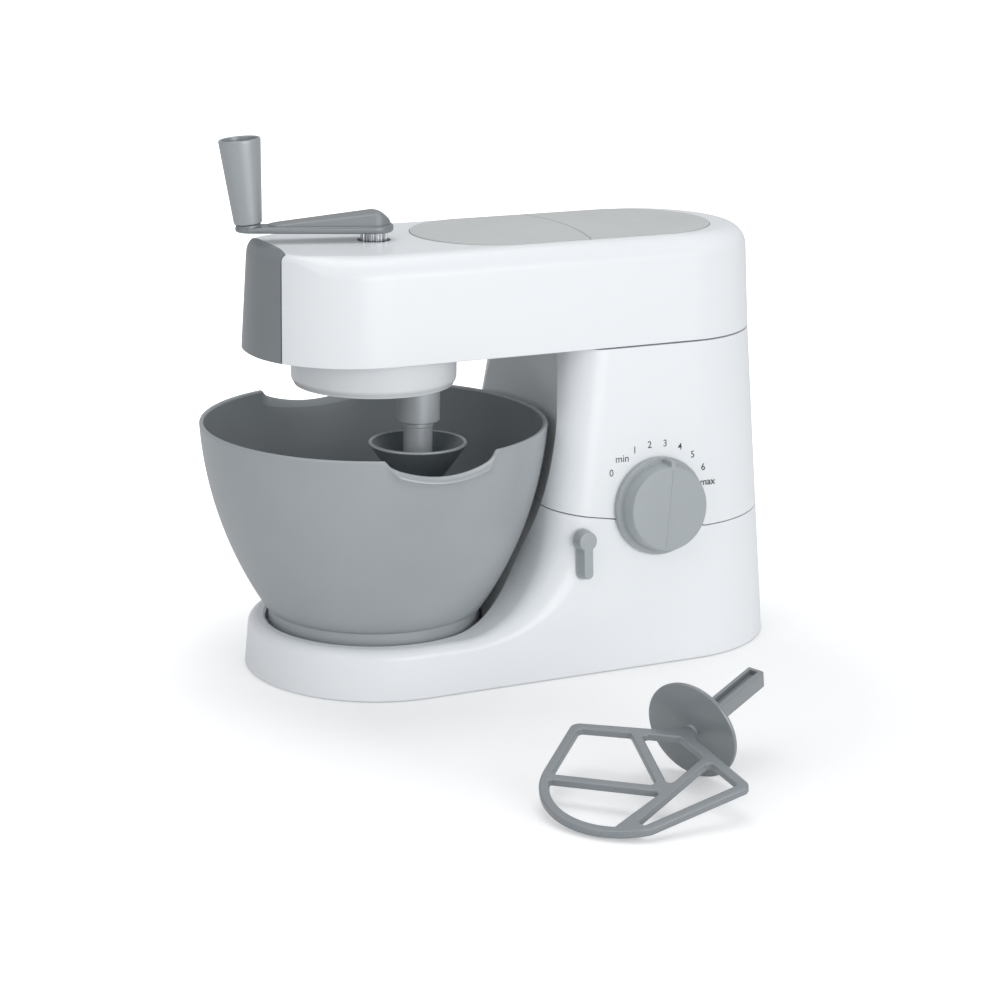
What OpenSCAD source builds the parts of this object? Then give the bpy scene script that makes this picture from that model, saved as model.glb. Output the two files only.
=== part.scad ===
// Toy stand mixer with a hand crank, planetary tool drive, tilting head, loose bowl and K-beater.

/* [Base and column] */
// half-width of the base at the table
base_r = 66; // [65:0.5:67]
// half-width of the column under the head
column_r = 53; // [52.5:0.5:54]
// bowl axis to the centre of the rounded rear end
rear_x = 150; // [149:1:154]
// height of the rim round the bowl seat
base_top = 25; // [24.5:0.5:25.5]
// radius of the sweep from the base up into the column
sweep_r = 52; // [51:0.5:53]
// bowl axis to the centre of the sweep
sweep_x = 20.2; // [20:0.1:21]
// backward lean of the column front in degrees
front_lean = 8; // [7:0.5:8]
// rounding along the rim, the sweep and the column corners
corner_r = 12; // [11:0.5:13]
// wall of the large shells
wall = 2.5; // [2.2:0.1:2.8]
// height of the shell edge above the table
edge_lift = 0.6; // [0.4:0.1:1]
// gap along the split line and under the head
split_gap = 0.6; // [0.4:0.1:0.8]
// height of the split line at the column front
split_front_z = 83; // [82:0.5:84]
// height of the level rear part of the split line and of the hinge
split_rear_z = 68; // [67:0.5:69]

/* [Head] */
// height of the lower edge of the head
head_z = 161.5; // [161:0.5:163]
// height of the head
head_h = 51.5; // [51:0.5:53]
// bowl axis to the centre of the rounded nose, towards the front
nose_x = 11.5; // [10:0.5:13]
// inward slope of the head sides in degrees
head_draft = 3.4; // [3:0.1:3.8]
// rounding of the upper edge of the head
head_edge = 12; // [11:0.5:12.5]
// width of the grey nose cover
cover_w = 41; // [38:1:44]
// half-width of the panels on top
panel_r = 39.4; // [38:0.2:40]
// bowl axis to the centre of the front panel end
panel_front = 61.6; // [60:0.2:64]
// bowl axis to the line between the panels
panel_split = 101.5; // [99:0.5:104]
// radius of the round skirt under the head
skirt_r = 40.5; // [40.5:0.1:41.5]
// depth of the skirt below the head
skirt_h = 18.3; // [18:0.1:19]

/* [Bowl] */
// outer radius of the bowl at its rim
bowl_r = 85.4; // [84.8:0.1:85.6]
// height of the bowl rim above the table
bowl_top = 124.4; // [123.5:0.1:125]
// wall of the bowl
bowl_wall = 2.2; // [2:0.1:2.6]
// radius of the foot ring
foot_r = 52.6; // [52:0.2:53]
// depth of the bowl seat
seat_depth = 7; // [6:0.5:7.5]
// half-angle of each pouring notch
notch_half = 20; // [17:1:22]
// depth of each pouring notch
notch_h = 8; // [6:0.5:9]

/* [Drive] */
// tooth size of the planetary gears
gear_m = 1.5; // [1.48:0.01:1.5]
// teeth on the planet gear
planet_n = 15; // [15]
// teeth inside the ring gear
ring_n = 45; // [45]
// direction of the tool from the bowl axis in degrees
tool_dir = -40; // [-45:1:-35]
// outer radius of the tool socket
socket_r = 10.7; // [10.5:0.1:11]
// height of the lower end of the tool socket
socket_z = 125.2; // [124.6:0.1:126]
// radius of the tool shanks
shank_r = 7.2; // [7:0.1:7.3]
// rim radius of the cone cup on the hook
cone_r = 24.2; // [23:0.2:25]
// rod radius of the hook
hook_rod = 4.5; // [4:0.1:5]

/* [Crank] */
// length of the crank arm
crank_len = 60.5; // [59:0.5:63]
// direction of the crank arm in degrees
crank_dir = 166; // [160:1:172]
// gap between the crank arm and the head
crank_gap = 4; // [3.5:0.1:5]
// height of the crank grip
grip_h = 40.5; // [38:0.5:44]
// outward lean of the crank grip in degrees
grip_lean = 5.2; // [4:0.1:6]

/* [Controls] */
// dial distance behind the bowl axis
dial_x = 127.6; // [126:0.2:130]
// height of the dial axis
dial_z = 81.3; // [81:0.1:82]
// radius of the dial skirt
dial_r = 24.5; // [23.5:0.1:25]
// height of the dial above the wall
dial_h = 12.6; // [12:0.1:14]
// pointer direction of the dial in degrees above the rear
pointer_dir = 83; // [83]
// lever distance behind the bowl axis
lever_x = 85; // [84.5:0.1:85.5]
// height of the lever pivot
lever_z = 68.7; // [68:0.1:69]
// length of the lever from pivot to end
lever_len = 20; // [18:0.5:22]

/* [K-beater] */
// radius of the beater disc
disc_r = 23.4; // [22.8:0.1:23.6]
// half-width of the beater at its shoulders
beater_w = 48.5; // [47.5:0.5:49.5]
// distance from the disc to the tip of the beater
beater_h = 88; // [87:0.5:89]
// width of the beater bars
bar_w = 5.2; // [4.8:0.1:5.6]
// thickness of the beater bars
bar_t = 4.6; // [4.2:0.1:5]

/* [Hidden] */
$fn = 96;
fine_fn = 720;

white = [0.93, 0.94, 0.95];
grey = [0.50, 0.52, 0.53];
pale_grey = [0.70, 0.72, 0.72];
dark_grey = [0.25, 0.27, 0.28];
silver = [0.62, 0.64, 0.65];
steel = [0.75, 0.76, 0.78];
nylon = [0.88, 0.86, 0.80];
rubber = [0.80, 0.80, 0.78];

// shared clearances
eps = 0.01;
press = 0.02;
running = 0.06;
slack = 0.3;
free_gap = 0.5;
rest_gap = 0.05;
over = 1;
span = 200;
far = 400;

// points on an arc
round_steps = 10;
function polar(r, a) = [r * cos(a), r * sin(a)];
function arc_points(r, a0, a1) = [for (i = [0 : round_steps]) polar(r, a0 + (a1 - a0) * i / round_steps)];

// tower walls lean inwards from the table to the head
tower_top = head_z - split_gap;
wall_slope = (base_r - column_r) / head_z;
draft = atan(wall_slope);
function half_w(z) = base_r - wall_slope * z;
function wall_in(t) = t / cos(draft);
corner_bite = 0.15;
corner_lap = 1;
rim_z = base_top - corner_r;
rim_x = half_w(rim_z) - wall_in(corner_r);
sweep_z = base_top + sweep_r;
lean_z = sweep_z - sweep_r * sin(front_lean);
lean_x = sweep_x + sweep_r * cos(front_lean);
function front_x(z) = lean_x + (z - lean_z) * tan(front_lean);

// split line
split_rear_x = 155;
split_front_x = 67;
split_slope = (split_front_z - split_rear_z) / (split_rear_x - split_front_x);
function split_z(x) = split_rear_z + max(0, split_rear_x - x) * split_slope;

// hinge at the rear of the split line
hinge_inset = 6;
hinge_x = rear_x + half_w(split_rear_z) - hinge_inset;
hinge_pin_r = 1.6;
knuckle_r = 5;
knuckle_mid = 7.4;
knuckle_end = 17;
knuckle_gap = 0.4;
hinge_half = 26;
tilt_room = 50;
tilt_wedge = 24;
block_len = 16;
block_h = 14;

// bowl
arc_r = 189.5;
arc_rise = 11.2;
arc_z = bowl_top + arc_rise;
arc_x = bowl_r - sqrt(pow(arc_r, 2) - pow(arc_rise, 2));
function bowl_arc(z) = arc_x + sqrt(pow(arc_r, 2) - pow(z - arc_z, 2));
foot_z = base_top - seat_depth;
foot_step = 30.6;
floor_t = 3;
bowl_clear = 4.4;
room_drop = 2;
room_z = base_top - room_drop;
seat_gap = 1.8;
seat_r = foot_r + seat_gap;
deck_t = 2.6;
lip_r = 1.6;
lip_short = 0.6;
notch_z = bowl_top - notch_h;

// head outline: half-width at the lower edge, tangent rounding above
head_top = head_z + head_h;
head_cz = head_top - head_edge;
head_cx = column_r - (head_cz - head_z) * tan(head_draft) - head_edge / cos(head_draft);
cover_t = 2;
cover_proud = 0.4;
cover_back = 2;
panel_t = 1.7;
panel_sink = 1.2;
panel_dome = 1.3;
dome_steps = 5;
panel_inset = 8.4;
panel_rear = rear_x - panel_inset;
panel_gap = 0.4;
panel_bow = 200;

// drive
orbit = gear_m * (ring_n - planet_n) / 2;
planet_pitch = gear_m * planet_n / 2;
ring_pitch = gear_m * ring_n / 2;
tooth_out = 0.8;
tooth_in = 1.05;
addendum = tooth_out * gear_m;
dedendum = tooth_in * gear_m;
pressure = 25;
backlash = 0.7;
flank_steps = 4;
skirt_wall = 2.4;
skirt_bore = skirt_r - skirt_wall;
skirt_z = head_z - skirt_h;
skirt_edge = 3;
carrier_lift = 2.8;
carrier_z = skirt_z + carrier_lift;
carrier_t = 4;
carrier_gap = 0.6;
carrier_r = skirt_bore - carrier_gap;
gear_z = carrier_z + carrier_t + free_gap;
gear_t = 8.6;
ring_flange = 3;
ring_flange_r = 46;
ring_h = head_z + wall - gear_z;
shaft_r = 5;
bush_r = 9;
bush_drop = 17;
bush_z = head_top - bush_drop;
bush_h = 10;
boss_wall = 3;
crank_hole_r = 8.2;
crank_post_r = 6.6;
post_tail_r = 6;
flutes = 12;
flute_r = 1;
spindle_r = 6;
spindle_over = 2.1;
spindle_top = gear_z + gear_t + spindle_over;
clip_groove = 0.8;
clip_t = 1.4;
clip_r = 8.4;
tool_x = orbit * cos(tool_dir);
tool_y = orbit * sin(tool_dir);
screw_r = 1.6;
screw_head_r = 3;
screw_head_h = 2;
slot_w = 0.8;
slot_part = 0.7;

// screws that hold the underside, the column and the ring gear
post_x = [-51.5, 60];
post_y = [0, 40];
post_screw = 10;
post_r = 4;
flange_t = 3;
flange_w = 12;
flange_x = [108, 176];
flange_y = [43, 34];
ring_screw_in = 2.7;
ring_screw_r = ring_flange_r - ring_screw_in;
ring_screws_n = 3;
ring_screw_turn = 60;

// hook
cone_z = 114.5;
cone_h = 17;
cone_foot_r = 13;
cone_wall = 1.8;
collar_r = 7.7;
collar_h = 2.4;
hook_r = 20;
hook_off = 5;
hook_z = 70;
hook_end = 221;
hook_swell = 1.12;
hook_dir = -26;

// crank
arm_z = head_top + crank_gap;
arm_t = 4;
arm_hub_r = 9.5;
arm_end_r = 6.3;
hump_inset = 1.3;
hump_r = 5.8;
hump_short = 9;
hump_len = crank_len - hump_short;
hump_tip = 0.5;
pad_h = 1;
grip_r0 = 6.3;
grip_r1 = 9.9;
grip_wall = 1.7;
grip_floor = 5;
grip_pin_r = 2.5;
grip_head_r = 4;
grip_head_h = 2;

// dial, in a frame on the wall
dial_gap = 0.6;
dial_skirt_h = 3.6;
dial_step_r = 22;
dial_face_r = 20.1;
dial_edge = 0.8;
dial_shaft_r = 3.4;
dial_shaft_len = 11;
star_r = 6.6;
star_t = 3;
star_z = -9;
stops = 9;
stop_step = 15.7;
notch_r = 0.7;
leaf_t = 0.8;
leaf_w = 3;
leaf_half = 12;
leaf_post_r = 2;
leaf_y = star_r + slack + leaf_t / 2;
pointer_w = 3;
pointer_h = 1.2;

// lever, in a frame on the wall
lever_gap = 0.5;
lever_h = 7;
lever_r0 = 5.5;
lever_r1 = 4.7;
lever_tail0 = 3.7;
lever_tail1 = 2.4;
lever_shaft_r = 3;
lever_shaft_len = 8;
pawl_z = -6.8;
pawl_t = 3;
pawl_r = 5.5;
pawl_len = 11.5;
pawl_tip = 2.2;
tongue_t = 3;
tongue_w = 9;
tongue_drop = 10;
tongue_gap = 0.5;
pocket_x0 = 78.5;
pocket_y = 32;
pocket_z0 = 48;
pedestal_cavity_x = 88;
column_cavity_x = 99;
joint_lap = 1;
column_joint = column_cavity_x + joint_lap;

// base plate
plate_t = 3;
plate_step = 3.2;
plate_gap = 0.4;
pad_r = 9;
pad_t = 1.2;
pad_x = [-32, 132];
pad_y = 38;
boss_r = 4.2;
deck_z = foot_z - rest_gap - deck_t;
screw_x = [-46, 22, 80, hinge_x - block_len / 2];
screw_y = [0, 52, 50, 18];
boss_top = [deck_z, deck_z, deck_z, split_rear_z - block_h];
plate_screw_h = 9;

// K-beater in its own frame, tip towards -Z
shoulder_z = 25.9;
waist_z = 71;
waist_w = 29.6;
arm_root_z = 7.5;
disc_t = 2;
bar_joint = 0.56;
tip_r = 36;
shank_side = 9.5;
shank_len = 51.6;
shank_slot_w = 2.6;
shank_slot_d = 1.6;
shank_hole_r = 1.2;
spine_x = 19.8;
k_joint_z = 46;
k_arm_x = -20;
k_arm_z = 16;
k_leg_x = -30.5;
k_leg_z = 64;
beater_x = 63.4;
beater_y = -208.7;
beater_turn = -155.2;
beater_pitch = 13.3;
beater_roll = 3.6;
beater_lift = 23.1;

// a profile of half-widths over heights, swept round a long rounded outline
module racetrack(xa, xb) {
    translate([xb, 0, 0]) rotate([0, 0, -90]) rotate_extrude(angle = 180) children();
    translate([xa, 0, 0]) rotate([0, 0, 90]) rotate_extrude(angle = 180) children();
    translate([xa, 0, 0]) rotate([90, 0, 90]) linear_extrude(xb - xa) {
        children();
        mirror([1, 0]) children();
    }
}

// a side view drawn in X and Z, pushed across the whole width
module across(half = span) {
    translate([0, half, 0]) rotate([90, 0, 0]) linear_extrude(2 * half) children();
}

// a frame whose Z points straight out of the near side wall
module on_wall(x, z) {
    translate([x, -half_w(z), z]) rotate([90 - draft, 0, 0]) children();
}

module screw(length, shank = screw_r, head = screw_head_r) {
    slot = head * slot_part;
    difference() {
        union() {
            cylinder(r = shank, h = length);
            translate([0, 0, -screw_head_h]) cylinder(r = head, h = screw_head_h);
        }
        translate([-slot, -slot_w / 2, -screw_head_h - eps]) cube([2 * slot, slot_w, screw_head_h / 2]);
        translate([-slot_w / 2, -slot, -screw_head_h - eps]) cube([slot_w, 2 * slot, screw_head_h / 2]);
    }
}

// tower: walls, front sweep, rounded corners and the hollow behind the bowl

module wall_profile(inset, z0, z1) {
    polygon([[0, z0], [half_w(z0) - wall_in(inset), z0], [half_w(z1) - wall_in(inset), z1], [0, z1]]);
}

module rim_profile() {
    edge = [for (p = arc_points(corner_r, draft, 90)) [rim_x, rim_z] + p];
    polygon(concat([[0, edge_lift], [half_w(edge_lift), edge_lift]], edge, [[0, base_top]]));
}

module base_front() {
    rotate([0, 0, 90]) rotate_extrude(angle = 180) rim_profile();
    rotate([90, 0, 90]) linear_extrude(sweep_x + corner_lap) {
        rim_profile();
        mirror([1, 0]) rim_profile();
    }
}

module front_side() {
    polygon([[-far, -far], [sweep_x, -far], [sweep_x, sweep_z], [lean_x, lean_z],
        [front_x(far), far], [-far, far]]);
    translate([sweep_x, sweep_z]) circle(sweep_r);
}

module corner_profile(bite) {
    far_r = sweep_r + corner_r - bite;
    edge = [for (p = arc_points(corner_r, 180, 90)) [far_r, -bite] + p];
    polygon(concat(edge, [[far_r, 2 * corner_r], [sweep_r - corner_r, 2 * corner_r],
        [sweep_r - corner_r, -bite]]));
}

// rounded corner along the sweep and the column front, on the near side (1) or the far side (-1)
module corner_cut(side) {
    y = half_w(sweep_z) - wall_in(corner_r);
    start = side > 0 ? -90 : front_lean;
    back = side > 0 ? span : corner_lap;
    translate([sweep_x, -side * y, sweep_z]) rotate([side * (90 - draft), 0, 0]) {
        rotate([0, 0, start]) rotate_extrude(angle = 90 - front_lean) corner_profile(corner_bite);
        rotate([0, 0, -side * front_lean]) translate([0, back, 0]) rotate([90, 0, 0])
            linear_extrude(span + corner_lap) corner_profile(2 * corner_bite);
    }
}

module bowl_room() {
    rotate_extrude() {
        bowl_outline(-bowl_clear, room_z, bowl_top);
        translate([0, bowl_top]) square([bowl_r + bowl_clear, far]);
    }
}

module tower() {
    difference() {
        racetrack(0, rear_x) wall_profile(0, edge_lift, tower_top);
        across() front_side();
        corner_cut(1);
        corner_cut(-1);
        bowl_room();
    }
}

module above_split(lift) {
    across() polygon([[-far, split_z(-far) + lift], [split_rear_x, split_rear_z + lift],
        [far, split_rear_z + lift], [far, far], [-far, far]]);
}

module along_hinge(y0, y1, r) {
    translate([hinge_x, y0, split_rear_z]) rotate([-90, 0, 0]) cylinder(r = r, h = y1 - y0);
}

module hinge_side(y0, y1, r) {
    along_hinge(y0, y1, r);
    along_hinge(-y1, -y0, r);
}

module plate_holes(z0, z1, r) {
    for (i = [0 : len(screw_x) - 1])
        for (s = screw_y[i] == 0 ? [0] : [-1, 1])
            translate([screw_x[i], s * screw_y[i], z0]) cylinder(r = r, h = z1 - z0);
}

module plate_bosses() {
    z0 = plate_t + plate_gap;
    for (i = [0 : len(screw_x) - 1])
        for (s = screw_y[i] == 0 ? [0] : [-1, 1])
            translate([screw_x[i], s * screw_y[i], z0]) cylinder(r = boss_r, h = boss_top[i] - z0 + eps);
}

// hollow of the pedestal, open below
module pedestal_cavity() {
    difference() {
        racetrack(0, rear_x) wall_profile(wall, -eps, far / 4);
        above_split(-wall - split_gap / 2);
        translate([hinge_x - block_len, -hinge_half, split_rear_z - block_h]) cube([far, 2 * hinge_half, far]);
        difference() {
            translate([-far, -span, deck_z]) cube([far + pedestal_cavity_x, 2 * span, far]);
            translate([pocket_x0, -span, pocket_z0]) cube([far, span - pocket_y, far]);
        }
    }
}

module pedestal_shell() color(white) {
    lever_hole = lever_shaft_r + running;
    difference() {
        union() {
            difference() {
                union() {
                    base_front();
                    difference() {
                        tower();
                        above_split(-split_gap / 2);
                    }
                }
                bowl_room();
                pedestal_cavity();
                translate([0, 0, foot_z - rest_gap]) cylinder(r = seat_r, h = far);
            }
            plate_bosses();
        }
        along_hinge(-knuckle_mid - knuckle_gap, knuckle_mid + knuckle_gap, knuckle_r + free_gap);
        along_hinge(-knuckle_end, knuckle_end, hinge_pin_r + press);
        on_wall(lever_x, lever_z) translate([0, 0, -2 * wall]) cylinder(r = lever_hole, h = 4 * wall);
        plate_holes(0, plate_screw_h + plate_t, screw_r + press);
        tongue(tongue_gap);
    }
    difference() {
        hinge_side(knuckle_mid + knuckle_gap, knuckle_end, knuckle_r);
        along_hinge(-span, span, hinge_pin_r + press);
    }
}

// base plate, pads and screws

module base_plate() color(pale_grey) {
    difference() {
        union() {
            racetrack(0, rear_x) square_profile(half_w(0) - wall - plate_step, 0, plate_t);
            racetrack(0, rear_x) square_profile(half_w(plate_t) - wall - plate_gap, edge_lift, plate_t);
        }
        pad_places(pad_r + press, -eps, pad_t + eps);
        plate_holes(-eps, plate_t + over, screw_r + slack);
        plate_holes(-eps, screw_head_h + eps, screw_head_r + slack);
    }
}

module square_profile(r, z0, z1) {
    translate([0, z0]) square([r, z1 - z0]);
}

module pad_places(r, z, h) {
    for (x = pad_x)
        for (s = [-1, 1])
            translate([x, s * pad_y, z]) cylinder(r = r, h = h);
}

module grip_pads() color(rubber) {
    pad_places(pad_r, 0, pad_t);
}

module base_screws() color(steel) {
    for (i = [0 : len(screw_x) - 1])
        for (s = screw_y[i] == 0 ? [0] : [-1, 1])
            translate([screw_x[i], s * screw_y[i], screw_head_h]) screw(plate_screw_h);
}

module hinge_pin() color(steel) {
    along_hinge(-knuckle_end, knuckle_end, hinge_pin_r);
}

// head-lift lever

module lift_lever() color(grey) {
    on_wall(lever_x, lever_z) {
        difference() {
            union() {
                translate([0, 0, lever_gap]) cylinder(r1 = lever_r0, r2 = lever_r1, h = lever_h - lever_gap);
                rotate([90, 0, 0]) linear_extrude(lever_len - lever_tail0)
                    polygon([[-lever_tail0, lever_gap], [lever_tail0, lever_gap], [lever_tail1, lever_h],
                        [-lever_tail1, lever_h]]);
                translate([0, lever_tail0 - lever_len, lever_gap])
                    cylinder(r1 = lever_tail0, r2 = lever_tail1, h = lever_h - lever_gap);
                translate([0, 0, -lever_shaft_len]) cylinder(r = lever_shaft_r, h = lever_shaft_len + over);
            }
            translate([0, 0, -lever_shaft_len - eps]) cylinder(r = screw_r + press, h = lever_shaft_len);
        }
    }
}

module lever_pawl() color(nylon) {
    on_wall(lever_x, lever_z) translate([0, 0, pawl_z]) difference() {
        union() {
            cylinder(r = pawl_r, h = pawl_t);
            translate([0, -pawl_tip, 0]) cube([pawl_len - pawl_tip, 2 * pawl_tip, pawl_t]);
            translate([pawl_len - pawl_tip, 0, 0]) cylinder(r = pawl_tip, h = pawl_t);
        }
        translate([0, 0, -over]) cylinder(r = lever_shaft_r + press, h = pawl_t + 2 * over);
    }
}

module lever_screw() color(steel) {
    on_wall(lever_x, lever_z) translate([0, 0, -lever_shaft_len])
        screw(lever_shaft_len - over, screw_r, lever_shaft_r + over);
}

// a tongue hanging from the column beside the pawl, widened by a clearance for its slot
module tongue(clear) {
    x0 = lever_x + pawl_len + free_gap;
    back = clear > 0 ? tongue_t : 0;
    y0 = wall_in(wall) + free_gap - half_w(lever_z);
    translate([x0 - clear, y0 - clear, split_z(x0) - tongue_drop - clear])
        cube([tongue_t + 2 * clear + back, tongue_w + 2 * clear, tongue_drop + wall + clear]);
}

// column

module column_cavity() {
    difference() {
        intersection() {
            racetrack(0, rear_x) wall_profile(wall, split_rear_z, tower_top + eps);
            translate([column_cavity_x, -span, 0]) cube([far, far, far]);
            above_split(wall + split_gap / 2);
        }
        translate([hinge_x - block_len, -hinge_half, 0]) cube([far, 2 * hinge_half, split_rear_z + block_h]);
    }
}

// flange inside the top of the column, where the head is screwed on
module column_flange() {
    difference() {
        intersection() {
            racetrack(0, rear_x) wall_profile(wall - eps, tower_top - flange_t, head_z - rest_gap);
            translate([column_joint + wall, -span, 0]) cube([far, far, far]);
        }
        racetrack(column_cavity_x + flange_w + column_r / 2, rear_x)
            square_profile(column_r - wall - flange_w, 0, far);
        flange_places() cylinder(r = screw_r + slack, h = far);
    }
}

module flange_places() {
    for (i = [0 : len(flange_x) - 1])
        for (s = [-1, 1])
            translate([flange_x[i], s * flange_y[i], 0]) children();
}

module column_screws() color(steel) {
    flange_places() translate([0, 0, tower_top - flange_t]) screw(split_gap + wall + flange_t + post_screw);
}

module column_block() {
    intersection() {
        tower();
        above_split(split_gap / 2);
    }
}

// front wall of the column, hollowed to leave room for the bowl
module column_front() color(white) {
    intersection() {
        column_block();
        translate([-span, -span, 0]) cube([span + column_joint - rest_gap, 2 * span, far]);
    }
    tongue(0);
}

module column_shell() color(white) {
    dial_hole = dial_shaft_r + running;
    difference() {
        column_block();
        column_cavity();
        translate([-span, -span, -over]) cube([span + column_joint, 2 * span, far]);
        across(hinge_half + over)
            polygon([[hinge_x, split_rear_z - over], [hinge_x + tilt_wedge, split_rear_z - over],
                [hinge_x + tilt_wedge, split_rear_z + tilt_wedge * tan(tilt_room)], [hinge_x, split_rear_z]]);
        along_hinge(-hinge_half - over, hinge_half + over, knuckle_r + free_gap);
        on_wall(dial_x, dial_z) {
            translate([0, 0, -2 * wall]) cylinder(r = dial_hole, h = 4 * wall);
            translate([0, 0, star_z - over]) cylinder(r = star_r + free_gap, h = star_t + 2 * over);
        }
    }
    difference() {
        union() {
            along_hinge(-knuckle_mid, knuckle_mid, knuckle_r);
            translate([hinge_x - 2 * knuckle_r, -knuckle_mid, split_rear_z + split_gap / 2])
                cube([2 * knuckle_r, 2 * knuckle_mid, 2 * knuckle_r]);
        }
        along_hinge(-span, span, hinge_pin_r + running);
    }
    column_flange();
    on_wall(dial_x, dial_z)
        for (s = [-1, 1])
            translate([s * (leaf_half - leaf_w), leaf_y, star_z])
                cylinder(r = leaf_post_r, h = -star_z - wall / 2);
}

// head

module head_profile(inset, z0) {
    edge = [for (p = arc_points(head_edge - inset, head_draft, 90)) [head_cx, head_cz] + p];
    foot = column_r - (z0 - head_z) * tan(head_draft) - inset / cos(head_draft);
    polygon(concat([[0, z0], [foot, z0]], edge, [[0, head_top - inset]]));
}

module head_form(inset, z0) {
    racetrack(-nose_x, rear_x) head_profile(inset, z0);
}

module nose_block(half, back) {
    translate([-span, -half, 0]) cube([span - nose_x - head_cx - back, 2 * half, far]);
}

module panel_form(r, z0, z1, dome) {
    crown = [for (i = [0 : dome_steps]) [r * i / dome_steps, z1 + dome * (1 - pow(i / dome_steps, 2))]];
    racetrack(panel_front, panel_rear) polygon(concat([[0, z0]], crown, [[r, z0]]));
}

// a layer of the head between two depths below its surface
module head_layer(outer, inner, z0) {
    difference() {
        head_form(outer, z0);
        head_form(inner, z0 - over);
    }
}

module head_shell() color(white) {
    difference() {
        union() {
            head_layer(0, wall, head_z);
            intersection() {
                head_layer(wall / 2, cover_t + wall, head_z);
                nose_block(cover_w / 2 + wall, cover_back - wall);
            }
            translate([0, 0, bush_z]) cylinder(r = bush_r + boss_wall, h = head_top - wall / 2 - bush_z);
            head_posts(head_z + wall + rest_gap, head_top - wall / 2, post_r);
            panel_form(panel_r + wall, head_top - panel_sink - wall, head_top - wall / 2, 0);
        }
        intersection() {
            head_layer(-over, cover_t, head_z - over);
            nose_block(cover_w / 2 + slack / 2, cover_back - slack / 2);
        }
        panel_form(panel_r + slack / 2, head_top - panel_sink, head_top + over, 0);
        translate([0, 0, bush_z - eps]) cylinder(r = bush_r + press, h = bush_h);
        cylinder(r = crank_hole_r, h = far);
        head_posts(head_z, head_z + wall + post_screw + over, screw_r + press);
    }
}

module nose_cover() color(grey) {
    intersection() {
        head_layer(-cover_proud, cover_t - rest_gap, head_z);
        nose_block(cover_w / 2, cover_back);
    }
}

module panel_body() {
    panel_form(panel_r, head_top - panel_sink + rest_gap, head_top - panel_sink + panel_t, panel_dome);
}

module bow_side(extra) {
    translate([panel_split - panel_bow, 0, 0]) cylinder(r = panel_bow + extra, h = far, $fn = fine_fn);
}

module front_panel() color(pale_grey) {
    intersection() {
        panel_body();
        bow_side(0);
    }
}

module rear_panel() color(pale_grey) {
    difference() {
        panel_body();
        bow_side(panel_gap);
    }
}

module post_places() {
    for (i = [0 : len(post_x) - 1])
        for (s = post_y[i] == 0 ? [0] : [-1, 1])
            translate([post_x[i], s * post_y[i], 0]) children();
}

module head_posts(z0, z1, r) {
    post_places() translate([0, 0, z0]) cylinder(r = r, h = z1 - z0);
    flange_places() translate([0, 0, z0]) cylinder(r = r, h = z1 - z0);
}

module ring_places() {
    for (i = [0 : ring_screws_n - 1])
        rotate([0, 0, i * 360 / ring_screws_n + ring_screw_turn]) translate([ring_screw_r, 0, 0]) children();
}

module head_underside() color(white) {
    difference() {
        racetrack(-nose_x, rear_x) square_profile(column_r - wall_in(wall) - slack, head_z, head_z + wall);
        translate([0, 0, head_z - over]) cylinder(r = skirt_r + press, h = far);
        intersection() {
            nose_block(cover_w, 0);
            head_layer(-over, cover_t + wall + slack, head_z - over);
        }
        post_places() translate([0, 0, head_z - over]) cylinder(r = screw_r + slack, h = far);
        post_places() translate([0, 0, head_z - over])
            cylinder(r = screw_head_r + slack, h = over + screw_head_h / 2);
        flange_places() translate([0, 0, head_z - over]) cylinder(r = screw_r + slack, h = far);
        ring_places() translate([0, 0, head_z - over]) cylinder(r = screw_r + press, h = far);
    }
}

// round skirt pressed into the underside, over the bowl
module head_skirt() color(white) {
    difference() {
        union() {
            translate([0, 0, skirt_z + skirt_edge])
                cylinder(r = skirt_r, h = skirt_h - skirt_edge + wall - rest_gap);
            translate([0, 0, skirt_z]) rotate_extrude() {
                square([skirt_r - skirt_edge, skirt_edge + eps]);
                intersection() {
                    translate([skirt_r - skirt_edge, skirt_edge]) circle(skirt_edge);
                    translate([skirt_r - skirt_edge - eps, 0]) square(skirt_edge + eps);
                }
            }
        }
        translate([0, 0, skirt_z - over]) cylinder(r = skirt_bore, h = far);
    }
}

module underside_screws() color(steel) {
    post_places() translate([0, 0, head_z + screw_head_h / 2]) screw(post_screw);
}

// gears

function inv_deg(a) = tan(a) * 180 / PI - a;
function flank(r, rp, th) =
    (th / 2 / rp) * 180 / PI + inv_deg(pressure) - inv_deg(acos(min(1, rp * cos(pressure) / r)));
function gear_points(n, rp, r_in, r_out, th) = [
    for (k = [0 : n - 1], side = [-1, 1], i = [0 : flank_steps])
        let (f = side < 0 ? i / flank_steps : 1 - i / flank_steps, r = r_in + (r_out - r_in) * f)
            polar(r, k * 360 / n + side * flank(r, rp, th))];

module planet_gear() color(nylon) {
    th = PI * gear_m / 2 - backlash / 2;
    translate([tool_x, tool_y, gear_z]) difference() {
        rotate([0, 0, tool_dir]) linear_extrude(gear_t)
            polygon(gear_points(planet_n, planet_pitch, planet_pitch - dedendum, planet_pitch + addendum, th));
        translate([0, 0, -over]) cylinder(r = spindle_r + press, h = gear_t + 2 * over);
    }
}

module ring_gear() color(nylon) {
    th = PI * gear_m / 2 + backlash / 2;
    translate([0, 0, gear_z]) difference() {
        union() {
            cylinder(r = skirt_bore - press, h = ring_h);
            translate([0, 0, ring_h]) cylinder(r = ring_flange_r, h = ring_flange);
        }
        translate([0, 0, -over]) rotate([0, 0, tool_dir]) linear_extrude(ring_h + ring_flange + 2 * over)
            polygon(gear_points(ring_n, ring_pitch, ring_pitch - addendum, ring_pitch + dedendum, th));
        ring_places() cylinder(r = screw_r + slack, h = far);
    }
}

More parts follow.
